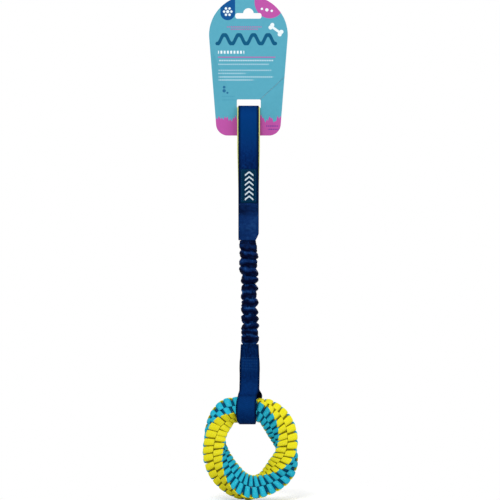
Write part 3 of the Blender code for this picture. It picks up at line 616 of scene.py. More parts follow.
def hang_card(finish):
    """The die-cut card: a round head on a tapering body, its slots, and the slit to its edge."""
    thick, foot, half_foot = CARD_THICKNESS, CARD_FOOT_LEVEL, CARD_HALF_FOOT
    tall = CARD_HEAD_LEVEL - foot
    taper = math.atan2(tall, half_foot) - math.acos(CARD_RADIUS / math.hypot(tall, half_foot))
    top = CARD_HEAD_LEVEL - CARD_RADIUS * math.sin(taper)
    half_top = CARD_RADIUS * math.cos(taper)
    card = round_block("hang_card", CARD_RADIUS, CARD_HEAD_LEVEL, thick, 192)
    middle = (top + foot) / 2
    body = begin_block("card_body", (2 * half_top, thick, top - foot), (0.0, 0.0, middle))
    pick(body, lambda point: point.co[2] < middle)
    bpy.ops.transform.resize(value=(half_foot / half_top, 1.0, 1.0), center_override=(0.0, 0.0, foot))
    pick_edges(body, lambda edge: all(point.co[2] < middle for point in edge.verts)
               and abs(edge.verts[0].co[1] - edge.verts[1].co[1]) > thick / 2)
    corner = CARD_CORNER_RADIUS * math.tan(math.pi / 4 + taper / 2)
    bpy.ops.mesh.bevel(offset=corner, segments=16, affect="EDGES")
    put_down()
    carve(card, body, "UNION")
    carve(card, board_cutter("peg_wings", *PEG_WINGS))
    carve(card, round_block("peg_bump", PEG_BUMP_RADIUS, 0.0, CUTTER_DEPTH, 64))
    carve(card, board_cutter("strap_window", *STRAP_WINDOW))
    slit = begin_block("card_slit", (0.09, CUTTER_DEPTH, 0.00008), (0.045, 0.0, 0.0))
    bpy.ops.transform.rotate(value=math.radians(SLIT_RISE_DEG), orient_axis="Y",
                             center_override=(0.0, 0.0, 0.0))
    bpy.ops.transform.translate(value=(SLIT_START[0], 0.0, SLIT_START[1]))
    put_down()
    carve(card, slit)
    round_edges(card, 0.00007, 60.0, 1)
    smooth(card, 30.0)
    hand_over(card, "card", finish, "card_board", "header_card")


# Strips of webbing

ACROSS = 12


def outward(path, distance):
    """Shift a path of (y, z) points to its left by a distance, square to its run."""
    shifted = []
    for i, (y, z) in enumerate(path):
        before = path[max(i - 1, 0)]
        after = path[min(i + 1, len(path) - 1)]
        run = Vector((after[0] - before[0], after[1] - before[1])).normalized()
        shifted.append((y - run[1] * distance, z + run[0] * distance))
    return shifted


def run_lengths(path):
    """How far along a path of (y, z) points each point lies."""
    runs = [0.0]
    for (y0, z0), (y1, z1) in zip(path, path[1:]):
        runs.append(runs[-1] + math.hypot(y1 - y0, z1 - z0))
    return runs


def lay_strip(name, path, widths, centres, thick, edge):
    """Lay a woven strip along a path of (y, z) points, drawing its end out from point to point."""
    bpy.ops.object.select_all(action="DESELECT")
    bpy.ops.mesh.primitive_grid_add(x_subdivisions=ACROSS, y_subdivisions=1, size=1.0)
    piece = begin(name)
    row_size = ACROSS + 1
    for row, side in ((0, -0.5), (1, 0.5)):
        pick(piece, lambda point: point.index // row_size == row)
        y, z = path[row]
        bpy.ops.transform.translate(value=(centres[row], y - side, z))
        bpy.ops.transform.resize(value=(widths[row], 1.0, 1.0), center_override=(centres[row], y, z))
    for i in range(2, len(path)):
        (y0, z0), (y1, z1) = path[i - 1], path[i]
        step = (centres[i] - centres[i - 1], y1 - y0, z1 - z0)
        bpy.ops.mesh.extrude_region_move(TRANSFORM_OT_translate={"value": step})
        if abs(widths[i] - widths[i - 1]) > 1e-7:
            bpy.ops.transform.resize(value=(widths[i] / widths[i - 1], 1.0, 1.0),
                                     center_override=(centres[i], y1, z1))
    put_down()
    runs = run_lengths(path)
    weave = piece.data.uv_layers[0]
    weave.name = "weave"
    for corner in piece.data.loops:
        row, column = divmod(corner.vertex_index, row_size)
        weave.data[corner.index].uv = ((column / ACROSS - 0.5) * widths[row], runs[row])
    thicken(piece, thick, edge)
    return piece


def thicken(piece, thick, edge):
    """Give a sheet its thickness to both sides, and round its edges."""
    modify(piece, "SOLIDIFY", thickness=thick, offset=0.0, use_even_offset=True)
    round_edges(piece, edge)
    modify(piece, "SUBSURF", levels=1, render_levels=1)
    smooth(piece, 50.0)


def loop_path(steps=44):
    """The hand loop's inner path from the back hem over the top to the front hem."""
    length = HEM_DROP - LOOP_INNER_DROP
    spread = math.sqrt(2 * LOOP_FOLD_RADIUS * length)
    side = []
    for i in range(steps + 1):
        root = i / steps
        share = root * root
        opening = spread * root * (1 - share) ** 1.5
        side.append((opening + CLOSED_HALF_GAP * min(1.0, 4 * root), -LOOP_INNER_DROP - share * length))
    front = [(-gap, z) for gap, z in side]
    back = [(gap, z) for gap, z in reversed(side)]
    back[-1] = (0.0, back[-1][1])
    return back + front[1:]


def hand_loop(navy, lime):
    """The loop's navy webbing, and the lime lining whose edges stand out beside it."""
    path = loop_path()
    middle = len(path) // 2
    lining_widths = []
    for i in range(len(path)):
        share = between(((0.0, 1.0), (0.6, 1.0), (1.0, 0.9)), abs(i - middle) / middle)
        lining_widths.append(LINING_WIDTH * share)
    centres = [HANDLE_SHIFT] * len(path)
    # In the solids the layers stand a little apart, and here each is as thick as closes that gap
    thick = LINING_THICKNESS + CLEARANCE
    lining_path = outward(path, -thick / 2)
    lining = lay_strip("loop_lining", lining_path, lining_widths, centres, thick, 0.0003)
    hand_over(lining, "handle", lime, "lime_lining", "handle_lining")

    long_path = [(CLOSED_HALF_GAP, -BACK_END_DROP), (CLOSED_HALF_GAP, -BACK_END_DROP + 0.001)]
    long_path += [(CLOSED_HALF_GAP, -HEM_DROP - 0.016), (CLOSED_HALF_GAP, -HEM_DROP - 0.008)] + path
    long_path += [(-CLOSED_HALF_GAP, -HEM_DROP - 0.008), (-CLOSED_HALF_GAP, -HEM_DROP - 0.016)]
    long_path += [(-CLOSED_HALF_GAP, -FRONT_END_DROP + 0.001), (-CLOSED_HALF_GAP, -FRONT_END_DROP)]
    far = LINING_THICKNESS + CLEARANCE + WEBBING_THICKNESS / 2
    webbing_path = outward(long_path, -far)
    many = len(webbing_path)
    webbing = lay_strip("loop_webbing", webbing_path, [WEBBING_WIDTH] * many, [HANDLE_SHIFT] * many,
                        WEBBING_THICKNESS, 0.0005)
    hand_over(webbing, "handle", navy, "navy_webbing", "handle_webbing")
    return path


def height_on(path, height):
    """The point at a height on a path of (y, z) points that falls all the way."""
    for (y0, z0), (y1, z1) in zip(path, path[1:]):
        if z1 <= height <= z0:
            return (y0 + (y1 - y0) * (z0 - height) / (z0 - z1), height)
    return path[-1]


def label_patch(path, finish):
    """The woven label sewn on the loop's front."""
    front = path[len(path) // 2:]
    foot = -HEM_DROP + CLEARANCE
    levels = [foot + LABEL_LENGTH * (1 - i / 12) for i in range(13)]
    inner = LINING_THICKNESS + CLEARANCE + WEBBING_THICKNESS
    thick = LABEL_THICKNESS + CLEARANCE
    patch_path = outward([height_on(front, level) for level in levels], -(inner + thick / 2))
    many = len(levels)
    patch = lay_strip("woven_label_patch", patch_path, [LABEL_WIDTH] * many, [HANDLE_SHIFT] * many,
                      thick, 0.00018)
    hand_over(patch, "handle", finish, "woven_label", "handle_label")


# How far the cover's foot leans back and over what height, how far in from its edges it stands free of
# its seams, how far it stands up there, and how deep it is crumpled
COVER_LEAN = 0.0011
COVER_LEAN_RUN = 0.006
COVER_SEAM_INSET = 0.004
COVER_PUFF = 0.0004
COVER_CRUMPLE = 0.00035


def cover_dip(z):
    """How far the cover leans back towards the bungee, below the end of the webbing under it."""
    turn = min(1.0, max(0.0, (-FRONT_END_DROP + 0.001 - z) / COVER_LEAN_RUN))
    return COVER_LEAN * turn * turn * (3 - 2 * turn)


# Painted light and shade on the cover from its foot to its top
COVER_PAINTED_SHADING = ((0.0, 0.40), (0.25, 0.47), (0.6, 0.46), (0.78, 0.2), (0.93, 0.26), (1.0, 0.34))


def joint_cover(finish):
    """The satin cover over the sewn joint, a little crumpled, cut off at its lower right corner."""
    half = COVER_WIDTH / 2
    left, right = HANDLE_SHIFT - half, HANDLE_SHIFT + half
    top, foot = -HEM_DROP - CLEARANCE, -COVER_FOOT_DROP
    thick = COVER_THICKNESS + CLEARANCE
    y = -(LAYER_HALF_GAP + WEBBING_THICKNESS + thick / 2)
    bpy.ops.object.select_all(action="DESELECT")
    bpy.ops.mesh.primitive_grid_add(x_subdivisions=30, y_subdivisions=54, size=1.0)
    piece = begin("sewn_joint_cover")
    bpy.ops.mesh.select_all(action="SELECT")
    bpy.ops.transform.resize(value=(COVER_WIDTH, top - foot, 1.0))
    bpy.ops.transform.rotate(value=-math.pi / 2, orient_axis="X", center_override=(0.0, 0.0, 0.0))
    bpy.ops.transform.translate(value=(HANDLE_SHIFT, y, (top + foot) / 2))
    bpy.ops.mesh.select_all(action="SELECT")
    across = Vector((COVER_CUT_HEIGHT, 0.0, -COVER_CUT_WIDTH)).normalized()
    bpy.ops.mesh.bisect(plane_co=(right, y, foot + COVER_CUT_HEIGHT), plane_no=across, clear_outer=True,
                        threshold=1e-6)
    put_down()
    lay_weave(piece)
    # Sewn down along its edges, the cover stands up a little between the seams
    painted_shading = []
    for point in piece.data.vertices:
        x, _, z = point.co
        inset = min(x - left, right - x, top - z, z - foot) / COVER_SEAM_INSET
        puff = min(1.0, max(0.0, inset))
        crumple = ripple(x * 170 + z * 60, 3.0, z * 330) + 0.6 * ripple(x * 420 - z * 150, 9.0, z * 520)
        lifted = COVER_PUFF * puff * puff * (3 - 2 * puff) + COVER_CRUMPLE * crumple * (0.25 + 0.75 * puff)
        point.co[1] += cover_dip(z) - lifted
        # Painted light and shade: bands by height, lighter on the crumples' ridges and darker near the side
        # edges, with random swells of tone
        swell = ripple(x * 60, 5.0, z * 95)
        light = between(COVER_PAINTED_SHADING, (z - foot) / (top - foot))
        side = min(1.0, min(x - left, right - x) / 0.0032)
        painted_shading.append(min(1.0, max(0.02, light + 0.1 * crumple + 0.12 * swell - 0.16 * (1 - side))))
    mark(piece, "tone", painted_shading)
    thicken(piece, thick, 0.0004)
    hand_over(piece, "handle", finish, "navy_satin", "joint_cover")


STITCH_PITCH = 0.0026


def stitch_row(name, first, last, body, finish, lie=None):
    """A row of lockstitches along a straight seam, one stitch modelled and the others copied.

    Lie gives the height of the cloth off the seam's plane at a level, where the cloth isn't flat.
    """
    first, last = Vector(first), Vector(last)
    run = last - first
    many = max(2, round(run.length / STITCH_PITCH))
    step = run / many
    bpy.ops.object.select_all(action="DESELECT")
    bpy.ops.mesh.primitive_uv_sphere_add(segments=6, ring_count=5, radius=1.0)
    piece = begin(name)
    bpy.ops.mesh.select_all(action="SELECT")
    bpy.ops.transform.resize(value=(0.00024, 0.0002, step.length * 0.36))
    put_down()
    lean = Vector((0.0, 0.0, 1.0)).rotation_difference(run.normalized())
    for point in piece.data.vertices:
        point.co = lean @ point.co + first + step / 2
    modify(piece, "ARRAY", count=many, use_relative_offset=False, use_constant_offset=True,
           constant_offset_displace=step)
    if lie:
        for point in piece.data.vertices:
            point.co[1] += lie(point.co[2])
    smooth(piece, 75.0)
    lay_weave(piece)
    mark(piece, "tone", [0.75] * len(piece.data.vertices))
    hand_over(piece, body, finish, "navy_satin")


# Bungee

def gather_stations(steps=8):
    """Sections of the sleeve as (z, half width, half depth, drift, fall to the right, phase).

    Each gather is a round roll, with a pinch to the next one. Its phase is its number on the crown, and
    half a number more or less in the pinches.
    """
    rings = []
    for tilt in (75.0, 50.0, 25.0):
        turn = math.radians(tilt)
        rings.append((-BEND_DROP + NECK_RADIUS * math.sin(turn), NECK_HALF_WIDTH,
                      NECK_RADIUS * math.cos(turn), NECK_SHIFT, 0.0, -0.5))
    neck_share = NECK_LENGTH / SLEEVE_LENGTH
    pinch = (0.0, NECK_HALF_WIDTH / SLEEVE_RADIUS, NECK_SHIFT / SLEEVE_RADIUS, 0.0)
    for row, (place, swell, drift, fall, waist, waist_drift) in enumerate(GATHER_SHARES):
        last = row == len(GATHER_SHARES) - 1
        below = 1.0 if last else (place + GATHER_SHARES[row + 1][0]) / 2
        next_fall = 0.0 if last else (fall + GATHER_SHARES[row + 1][3]) / 2
        size = SLEEVE_FOOT_HALF_WIDTH / SLEEVE_RADIUS if last else waist
        aside = STRAP_TOP_SHIFT / SLEEVE_RADIUS if last else waist_drift
        under = (below, size, aside, next_fall)
        for start, rising in ((pinch, True), (under, False)):
            for k in range(steps):
                q = k / steps if rising else 1 - k / steps
                crown = (1 - (1 - q) ** 2.0) ** 0.9
                ease = q * q * (3 - 2 * q)
                share = start[0] + (place - start[0]) * q
                half = (start[1] + (swell - start[1]) * crown) * SLEEVE_RADIUS
                depth = half * SLEEVE_DEPTH_SHARE
                if share < neck_share * 3:
                    flat = share / (neck_share * 3)
                    depth = NECK_RADIUS + (depth - NECK_RADIUS) * flat * flat
                if share > 0.96:
                    depth += (SLEEVE_FOOT_HALF_DEPTH - depth) * (share - 0.96) / 0.04
                phase = row - (1 - q) / 2 if rising else row + (1 - q) / 2
                rings.append((-BEND_DROP - share * SLEEVE_LENGTH, half, depth,
                              (start[2] + (drift - start[2]) * ease) * SLEEVE_RADIUS,
                              (start[3] + (fall - start[3]) * ease) * SLEEVE_RADIUS, phase))
        pinch = under
    rings.append((-SLEEVE_FOOT_DROP, SLEEVE_FOOT_HALF_WIDTH, SLEEVE_FOOT_HALF_DEPTH, STRAP_TOP_SHIFT, 0.0,
                  len(GATHER_SHARES) - 0.5))
    return rings


# Painted light and shade on the cloth from the pinch above a gather to the one below it, as rows of (phase
# off the crown, light): near black on and just below the crowns, lighter towards the pinches. The upper
# gathers show painted light farther down from the pinch above them.
FIRST_GATHER_PAINTED_SHADING = ((-0.5, 0.12), (-0.2, 0.26), (0.05, 0.14), (0.2, 0.0), (0.5, 0.2))
UPPER_GATHER_PAINTED_SHADING = ((-0.5, 0.22), (-0.4, 0.46), (-0.2, 0.36), (0.0, 0.08), (0.2, 0.0), (0.36, 0.08),
                      (0.5, 0.22))
LOWER_GATHER_PAINTED_SHADING = ((-0.6, 0.64), (-0.44, 0.58), (-0.27, 0.14), (0.0, 0.0), (0.27, 0.14), (0.44, 0.58),
                      (0.6, 0.64))
UPPER_GATHERS = 5


def gather_painted_shading(phase):
    """Painted light and shade of the cloth at a phase of the gathers, from 0 for dark to 1 for light."""
    row = min(len(GATHER_SHARES) - 1, max(0, round(phase)))
    lower = UPPER_GATHER_PAINTED_SHADING if row < UPPER_GATHERS else LOWER_GATHER_PAINTED_SHADING
    return between(lower if row else FIRST_GATHER_PAINTED_SHADING, phase - row)


def draw_tube(name, stations, sides):
    """Draw a soft tube down from section to section, each (z, half width, half depth, drift)."""
    z0, half, depth, drift = stations[0][:4]
    bpy.ops.object.select_all(action="DESELECT")
    bpy.ops.mesh.primitive_circle_add(vertices=sides, radius=1.0, fill_type="NOTHING")
    piece = begin(name)
    bpy.ops.mesh.select_all(action="SELECT")
    bpy.ops.transform.resize(value=(half, depth, 1.0), center_override=(0.0, 0.0, 0.0))
    bpy.ops.transform.translate(value=(drift, 0.0, z0))
    for before, after in zip(stations, stations[1:]):
        bpy.ops.mesh.extrude_edges_move(
            TRANSFORM_OT_translate={"value": (after[3] - before[3], 0.0, after[0] - before[0])})
        bpy.ops.transform.resize(value=(after[1] / before[1], after[2] / before[2], 1.0),
                                 center_override=(after[3], 0.0, after[0]))
    put_down()
    return piece


# How far the sleeve's slanting folds stand out, its creases go in and its pleats stand out
FOLD_RISE = 0.0008
CREASE_DEPTH = 0.0007
PLEAT_RISE = 0.00025


def ruched_sleeve(finish, root):
    """The gathered sleeve: its gathers drawn one by one, then creased all round."""
    stations = gather_stations()
    sides = 72
    piece = draw_tube("ruched_sleeve", stations, sides)
    mesh = piece.data
    weave = mesh.uv_layers.new(name="weave")
    for corner in mesh.loops:
        row, side = divmod(corner.vertex_index, sides)
        weave.data[corner.index].uv = (side / sides * 0.06, stations[row][0] * 1.6)
    top, foot = -BEND_DROP + NECK_RADIUS, -SLEEVE_FOOT_DROP
    painted_shading = []
    for point in mesh.vertices:
        z, half, _, drift, fall, phase = stations[point.index // sides]
        out = Vector((point.co[0] - drift, point.co[1], 0.0)).normalized()
        x, y = out[0], out[1]
        # Creases run round the sleeve on a slant, deepest on the crowns, and small pleats in the pinches
        slant = z + 0.0022 * ripple(x * 1.1, y * 1.1 + 5, z * 55)
        slant += 0.0015 * math.sin(math.atan2(x, -y) * 0.9 + z * 70)
        fold = ripple(x * 1.1, y * 1.1, slant * 260)
        crease = max(0.0, 1 - abs(ripple(x * 1.4 + 3, y * 1.4, slant * 420)) * 3.0)
        pleat = math.sin(math.atan2(y, x) * 19 + 7 * ripple(x, y, z * 90))
        ease = max(0.0, min(1.0, (z - foot) / 0.003, (top - z) / 0.006))
        phase += 0.3 * ripple(x * 1.3 + 7, y * 1.3, z * 75) + 0.13 * ripple(x * 4.0, y * 4.0, z * 260)
        tone = gather_painted_shading(phase)
        light = min(1.0, tone * 1.3)
        depth = FOLD_RISE * fold - CREASE_DEPTH * crease ** 2 * (1 - light) + PLEAT_RISE * pleat * light
        point.co[2] -= fall / (2 * half) * (point.co[0] - drift)
        point.co += out * depth * ease
        point.co[2] += 0.0006 * ease * ripple(x * 1.6 + 4, y * 1.6, z * 200)
        # Painted light and shade: the gathers' tone with random patches, lighter on folds that stand out and
        # on pleats, darker in the creases
        shown = tone * (1.0 + 0.7 * ripple(x * 1.6, y * 1.6, z * 140) + 0.2 * ripple(x * 9, y * 9, z * 900))
        shown += 0.16 * max(0.0, fold) + 0.12 * pleat * light - 0.15 * crease
        painted_shading.append(min(1.0, max(0.0, shown)))
    mark(piece, "tone", painted_shading)
    modify(piece, "SOLIDIFY", thickness=0.0005, offset=-1.0, use_even_offset=False)
    smooth(piece, 75.0)
    hand_over(piece, None, finish, "navy_satin", "bungee_sleeve")
    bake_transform(piece)


# Pleats side by side, in radians a metre: fine in the throat, and broader in the flattened ends
THROAT_PLEATS = 2600
END_PLEATS = 2200


def sleeve_root(finish):
    """The flat throat of the sleeve, which bends where it comes out of the sewn joint."""
    stations = [(-BEND_DROP + 0.0052 - 0.0012 * k, 0.0084 + 0.00012 * k, 0.0013 + 0.00017 * k,
                 NECK_SHIFT * k / 7) for k in range(8)]
    piece = draw_tube("sleeve_root", stations, 36)
    piece.data.uv_layers.new(name="weave")
    lay_weave(piece)
    # Fine pleats run down the throat
    pleats = [math.sin(point.co[0] * THROAT_PLEATS) for point in piece.data.vertices]
    for point, pleat in zip(piece.data.vertices, pleats):
        point.co[1] *= 1 + 0.08 * pleat
    # Painted shade, dark all over the throat, lighter and darker along its pleats
    mark(piece, "tone", [0.15 + 0.1 * pleat for pleat in pleats])
    modify(piece, "SOLIDIFY", thickness=0.0004, offset=-1.0, use_even_offset=False)
    smooth(piece, 75.0)
    hand_over(piece, None, finish, "navy_satin")
    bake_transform(piece)
    return piece


def close_ends(piece):
    """Close the open ends of a tube."""
    bpy.ops.object.mode_set(mode="EDIT")
    pick_edges(piece, lambda edge: edge.is_boundary)
    bpy.ops.mesh.fill()
    bpy.ops.mesh.select_all(action="SELECT")
    bpy.ops.mesh.normals_make_consistent(inside=False)
    bpy.ops.object.mode_set(mode="OBJECT")


def elastic_core(finish):
    """The braided elastic in the sleeve, which follows its waists."""
    stations = [(-BEND_DROP - 0.006, 0.0016, 0.0016, HANDLE_SHIFT)]
    for row, gather in enumerate(GATHER_SHARES[:-1]):
        place = (gather[0] + GATHER_SHARES[row + 1][0]) / 2
        z = -BEND_DROP - place * SLEEVE_LENGTH
        if z < -BEND_DROP - 0.0105:
            stations.append((z, CORE_RADIUS * 0.95, CORE_RADIUS * 0.95, gather[5] * SLEEVE_RADIUS))
    stations.append((-SLEEVE_FOOT_DROP + 0.004, 0.0024, 0.0024, 0.0024))
    stations.append((-SLEEVE_FOOT_DROP + 0.0003, 0.0015, 0.0015, STRAP_TOP_SHIFT))
    piece = draw_tube("elastic_core", stations, 12)
    modify(piece, "SUBSURF", levels=1, render_levels=1)
    close_ends(piece)
    piece.data.uv_layers.new(name="weave")
    lay_weave(piece)
    smooth(piece, 60.0)
    hand_over(piece, None, finish, "elastic", "bungee_core")
    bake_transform(piece)


def flat_end(name, centre, high, low, body, node, finish):
    """A flattened end of the sleeve, sewn between two layers of webbing."""
    piece = begin_block(name, (BUNGEE_END_WIDTH, 2 * LAYER_HALF_GAP, high - low),
                        (centre, 0.0, (high + low) / 2))
    bpy.ops.mesh.subdivide(number_cuts=15)
    put_down()
    # Pressed pleats run along the flattened cloth
    for point in piece.data.vertices:
        x, y, z = point.co
        turn = (x - centre) * END_PLEATS + 2 * ripple(x * 90, y * 90, z * 90)
        point.co[1] = y * (0.97 + 0.03 * math.cos(turn))
    round_edges(piece, 0.0004)
    smooth(piece, 60.0)
    lay_weave(piece)
    # Painted light and shade, lighter and darker along the pleats
    mark(piece, "tone", [0.3 + 0.25 * math.sin(point.co[0] * END_PLEATS) for point in piece.data.vertices])
    hand_over(piece, body, finish, "navy_satin", node)


# Ring strap

def strap_path():
    """Inner path of the ring strap from its front top, round under the ring, to its back top."""
    tangent = math.radians(STRAP_TANGENT_DEG)
    top = -STRAP_TOP_DROP
    neck = Vector((-LAYER_HALF_GAP, -EYE_DROP + STRAP_NECK_HEIGHT))
    touch = Vector((-EYE_RADIUS * math.cos(tangent), -EYE_DROP + EYE_RADIUS * math.sin(tangent)))
    reach = (touch - neck).length * STRAP_HANDLE_SHARE
    pulls = (neck, neck - Vector((0.0, reach)),
             touch + Vector((math.sin(tangent), math.cos(tangent))) * reach, touch)
    front = [(-LAYER_HALF_GAP, top + (neck[1] - top) * i / 12) for i in range(12)]
    for i in range(14):
        t = i / 14
        weights = ((1 - t) ** 3, 3 * t * (1 - t) ** 2, 3 * t * t * (1 - t), t ** 3)
        point = sum((p * w for p, w in zip(pulls, weights)), Vector((0.0, 0.0)))
        front.append((point[0], point[1]))
    path = list(front)
    for i in range(33):
        turn = math.pi - tangent + (math.pi + 2 * tangent) * i / 32
        path.append((EYE_RADIUS * math.cos(turn), -EYE_DROP + EYE_RADIUS * math.sin(turn)))
    return path + [(-y, z) for y, z in reversed(front)]


# Along the strap, from its front top round the ring to its back top: the share of its full width that
# shows, and its middle's place to the right in millimetres
STRAP_VIEW_WIDTHS = ((0.0, 0.88), (0.07, 0.93), (0.09, 0.985), (0.135, 1.0), (0.16, 0.98), (0.255, 0.975),
                     (0.285, 0.93), (0.33, 0.97), (0.375, 1.0), (0.41, 0.97), (0.5, 0.79), (0.6, 0.92),
                     (0.745, 0.92), (0.8, 0.94), (1.0, 0.88))
STRAP_VIEW_CENTRES = ((0.0, 1.6), (0.16, 1.5), (0.25, 1.2), (0.29, -1.3), (0.335, -2.7), (0.375, -3.0),
                      (0.41, -2.6), (0.5, -1.1), (0.62, 0.1), (0.7, 5.6), (0.757, 1.6), (1.0, 1.6))


def ring_strap(finish):
    """The strap that carries the ring, drawn a little to one side where it goes round it."""
    path = outward(strap_path(), -WEBBING_THICKNESS / 2)
    runs = run_lengths(path)
    widths = [WEBBING_WIDTH * between(STRAP_VIEW_WIDTHS, run / runs[-1]) for run in runs]
    centres = [between(STRAP_VIEW_CENTRES, run / runs[-1]) / 1000 for run in runs]
    piece = lay_strip("ring_strap_webbing", path, widths, centres, WEBBING_THICKNESS, 0.0005)
    # Painted shade: the loop's inner side is painted near black where it faces forward behind the ring
    mark(piece, "painted_shade", [0.85 if point.co[1] > 0.0006 and point.normal[1] < -0.25 else 0.0
                         for point in piece.data.vertices])
    hand_over(piece, "strap", finish, "navy_webbing", "ring_strap")


# Ring

def degrees_off(angle, place):
    """How far angles are from a place on the ring, in degrees, the short way round."""
    return (angle - place + 180) % 360 - 180


def oval_points(turns):
    """Points of the ring's middle line in its own plane, at angles of the oval."""
    lean = math.radians(90 + RING_LEAN_DEG)
    size = np.ones(len(turns))
    for place, more, spread in RING_DENTS:
        size += more * np.exp(-(degrees_off(np.degrees(turns + lean), place) / spread) ** 2)
    along = RING_LONG_RADIUS * np.cos(turns) * size
    across = RING_SHORT_RADIUS * np.sin(turns) * size
    return np.stack((along * math.cos(lean) - across * math.sin(lean),
                     along * math.sin(lean) + across * math.cos(lean)), axis=-1)


class Ring:
    """Bends the straight plait into the ring, and twists it once round on the way."""

    def __init__(self):
        self.turns = np.linspace(0.0, 2 * math.pi, RING_STEPS + 1)
        points = oval_points(self.turns)
        runs = np.concatenate(([0.0], np.cumsum(np.hypot(*np.diff(points, axis=0).T))))
        self.length = float(runs[-1])
        self.shares = runs / self.length
        lean = math.radians(90 + RING_LEAN_DEG)
        top_turn = math.atan2(RING_SHORT_RADIUS * math.cos(lean), RING_LONG_RADIUS * math.sin(lean))
        self.top_share = float(np.interp(top_turn % (2 * math.pi), self.turns, self.shares))
        top = oval_points(np.array([top_turn]))[0]
        self.centre = np.array((RING_TOP_SHIFT - top[0], 0.0, -EYE_DROP - top[1]))
        angles = np.unwrap(np.arctan2(points[:, 1], points[:, 0]))
        line = math.radians(COLOUR_LINE_DEG)
        line += 2 * math.pi * math.ceil((angles[0] - line) / (2 * math.pi))
        self.line_share = float(np.interp(line, angles, self.shares))
        self.angles = np.degrees(angles)

    def twist(self, s):
        """How far the plait has turned about its middle line at shares of its length."""
        drift = sum(math.radians(more) * self.near(s, place, spread) for place, more, spread in TWIST_DRIFTS)
        return math.radians(45.0) - 2 * math.pi * (s - self.line_share) + drift

    def near(self, s, place, spread):
        """How near shares of the length are to an angle round the ring, from 0 to 1, in degrees."""
        angle = np.interp(s % 1.0, self.shares, self.angles)
        return np.exp(-(degrees_off(angle, place) / spread) ** 2)

    def stretch(self, s, u, v):
        """How much longer the plait runs at points beside the middle line than along it."""
        turns = np.interp(s % 1.0, self.shares, self.turns)
        twist = self.twist(s)
        out = v * np.cos(twist) - u * np.sin(twist)
        speed = np.hypot(RING_LONG_RADIUS * np.sin(turns), RING_SHORT_RADIUS * np.cos(turns))
        return 1 + out * RING_LONG_RADIUS * RING_SHORT_RADIUS / speed ** 3

    def bend(self, s, u, v):
        """World places of points at shares s of the length, u and v off the middle line."""
        turns = np.interp(s % 1.0, self.shares, self.turns)
        step = 2 * math.pi / RING_STEPS
        run = oval_points(turns + step) - oval_points(turns - step)
        run /= np.linalg.norm(run, axis=1)[:, None]
        none = np.zeros(len(turns))
        out = np.stack((run[:, 1], none, -run[:, 0]), axis=1)
        front = np.array((0.0, -1.0, 0.0))
        twist = self.twist(s)[:, None]
        v_way = out * np.cos(twist) + front * np.sin(twist)
        u_way = front * np.cos(twist) - out * np.sin(twist)
        flat = oval_points(turns)
        middle = self.centre + np.stack((flat[:, 0], none, flat[:, 1]), axis=1)
        # The plait fills its square a little less in the middle of the faces than at the corners
        larger = np.maximum(np.abs(u), np.abs(v))
        corner = np.minimum(np.abs(u), np.abs(v)) / np.maximum(larger, 1e-6)
        offset = (u_way * u[:, None] + v_way * v[:, None]) * (0.94 + 0.045 * corner[:, None] ** 4)
        offset *= 1 + sum(more * self.near(s, place, spread) for place, more, spread in PLAIT_SWELLS)[:, None]
        # Under the strap the plait is drawn in to a waist, which ends beside it
        away = np.abs((s - self.top_share + 0.5) % 1.0 - 0.5) > STRAP_SHARE
        beside = np.abs((middle + offset)[:, 0] - RING_TOP_SHIFT)
        rise = np.clip((beside - WAIST_HALF_WIDTH) / WAIST_EASE, 0.0, 1.0)
        waist = WAIST_SHARE + (1 - WAIST_SHARE) * (1 - np.cos(math.pi * rise)) / 2
        placed = middle + offset * np.where(away, 1.0, waist)[:, None]
        # There no fold stands out so far that it would catch as the ring turns in the eye
        beside = np.abs(placed[:, 0] - RING_TOP_SHIFT)
        reach = np.hypot(placed[:, 1], placed[:, 2] + EYE_DROP)
        limit = EYE_RADIUS - EYE_PLAY + 2 * np.maximum(0.0, beside - STRAP_HALF_WIDTH)
        press = np.where(away, 1.0, np.minimum(1.0, limit / reach))
        placed[:, 1] *= press
        placed[:, 2] = (placed[:, 2] + EYE_DROP) * press - EYE_DROP
        return placed


# Half of one fold of a cord in millimetres, from its leg to its crown: along from the fold's middle,
# out from the plait's middle, the cord's thickness, and its near and far edges. The yellow cord is
# pressed broad, and the cyan cord is rounder.
BROAD_FOLD = ((2.12, 0.0, 2.0, 0.04, 12.1), (2.12, 8.8, 2.0, 0.04, 12.2), (2.25, 10.4, 2.0, 0.04, 12.5),
              (2.6, 11.5, 2.0, 0.04, 12.9), (2.5, 12.15, 2.1, 0.05, 13.0), (1.9, 12.58, 2.1, 0.05, 13.05),
              (0.95, 12.72, 2.0, 0.05, 13.1), (0.0, 12.76, 2.0, 0.05, 13.1))
ROUND_FOLD = ((2.12, 0.0, 2.0, 0.04, 12.1), (2.12, 8.8, 2.0, 0.04, 12.2), (2.12, 10.4, 2.0, 0.04, 12.5),
              (2.2, 11.4, 1.9, 0.04, 12.9), (1.95, 12.05, 2.0, 0.05, 13.0), (1.45, 12.48, 2.0, 0.05, 13.05),
              (0.72, 12.72, 2.0, 0.05, 13.1), (0.0, 12.78, 2.0, 0.05, 13.1))
SECTION_SIDES = 10
CORD_WIDTH = 0.013
# Levels off the plait's middle: where a fold's crown ends, its legs begin and its loose part begins
CROWN_FOOT = 0.0126
LEG_TOP = 0.0106
FACE_FOOT = 0.0095
# How unlike the folds are: how far they stand out, lie off their place, and tilt
PULL_OUT = 0.00018
PULL_ASIDE = 0.00022
PULL_TILT = 0.034


def lace_stations(brick, fold):
    """One wave of a cord in metres: along, out, thickness, near edge, far edge, and its fold's middle."""
    rows = []
    for middle, face in ((brick / 4, 1), (3 * brick / 4, -1)):
        half = [tuple(value / 1000 for value in row) for row in fold]
        rows += [(middle - a, face * out, thick, near, far, middle) for a, out, thick, near, far in half]
        rows += [(middle + a, face * out, thick, near, far, middle)
                 for a, out, thick, near, far in half[-2:0:-1]]
    first = rows[0]
    rows.append((first[0] + brick,) + first[1:5] + (first[5] + brick,))
    return rows


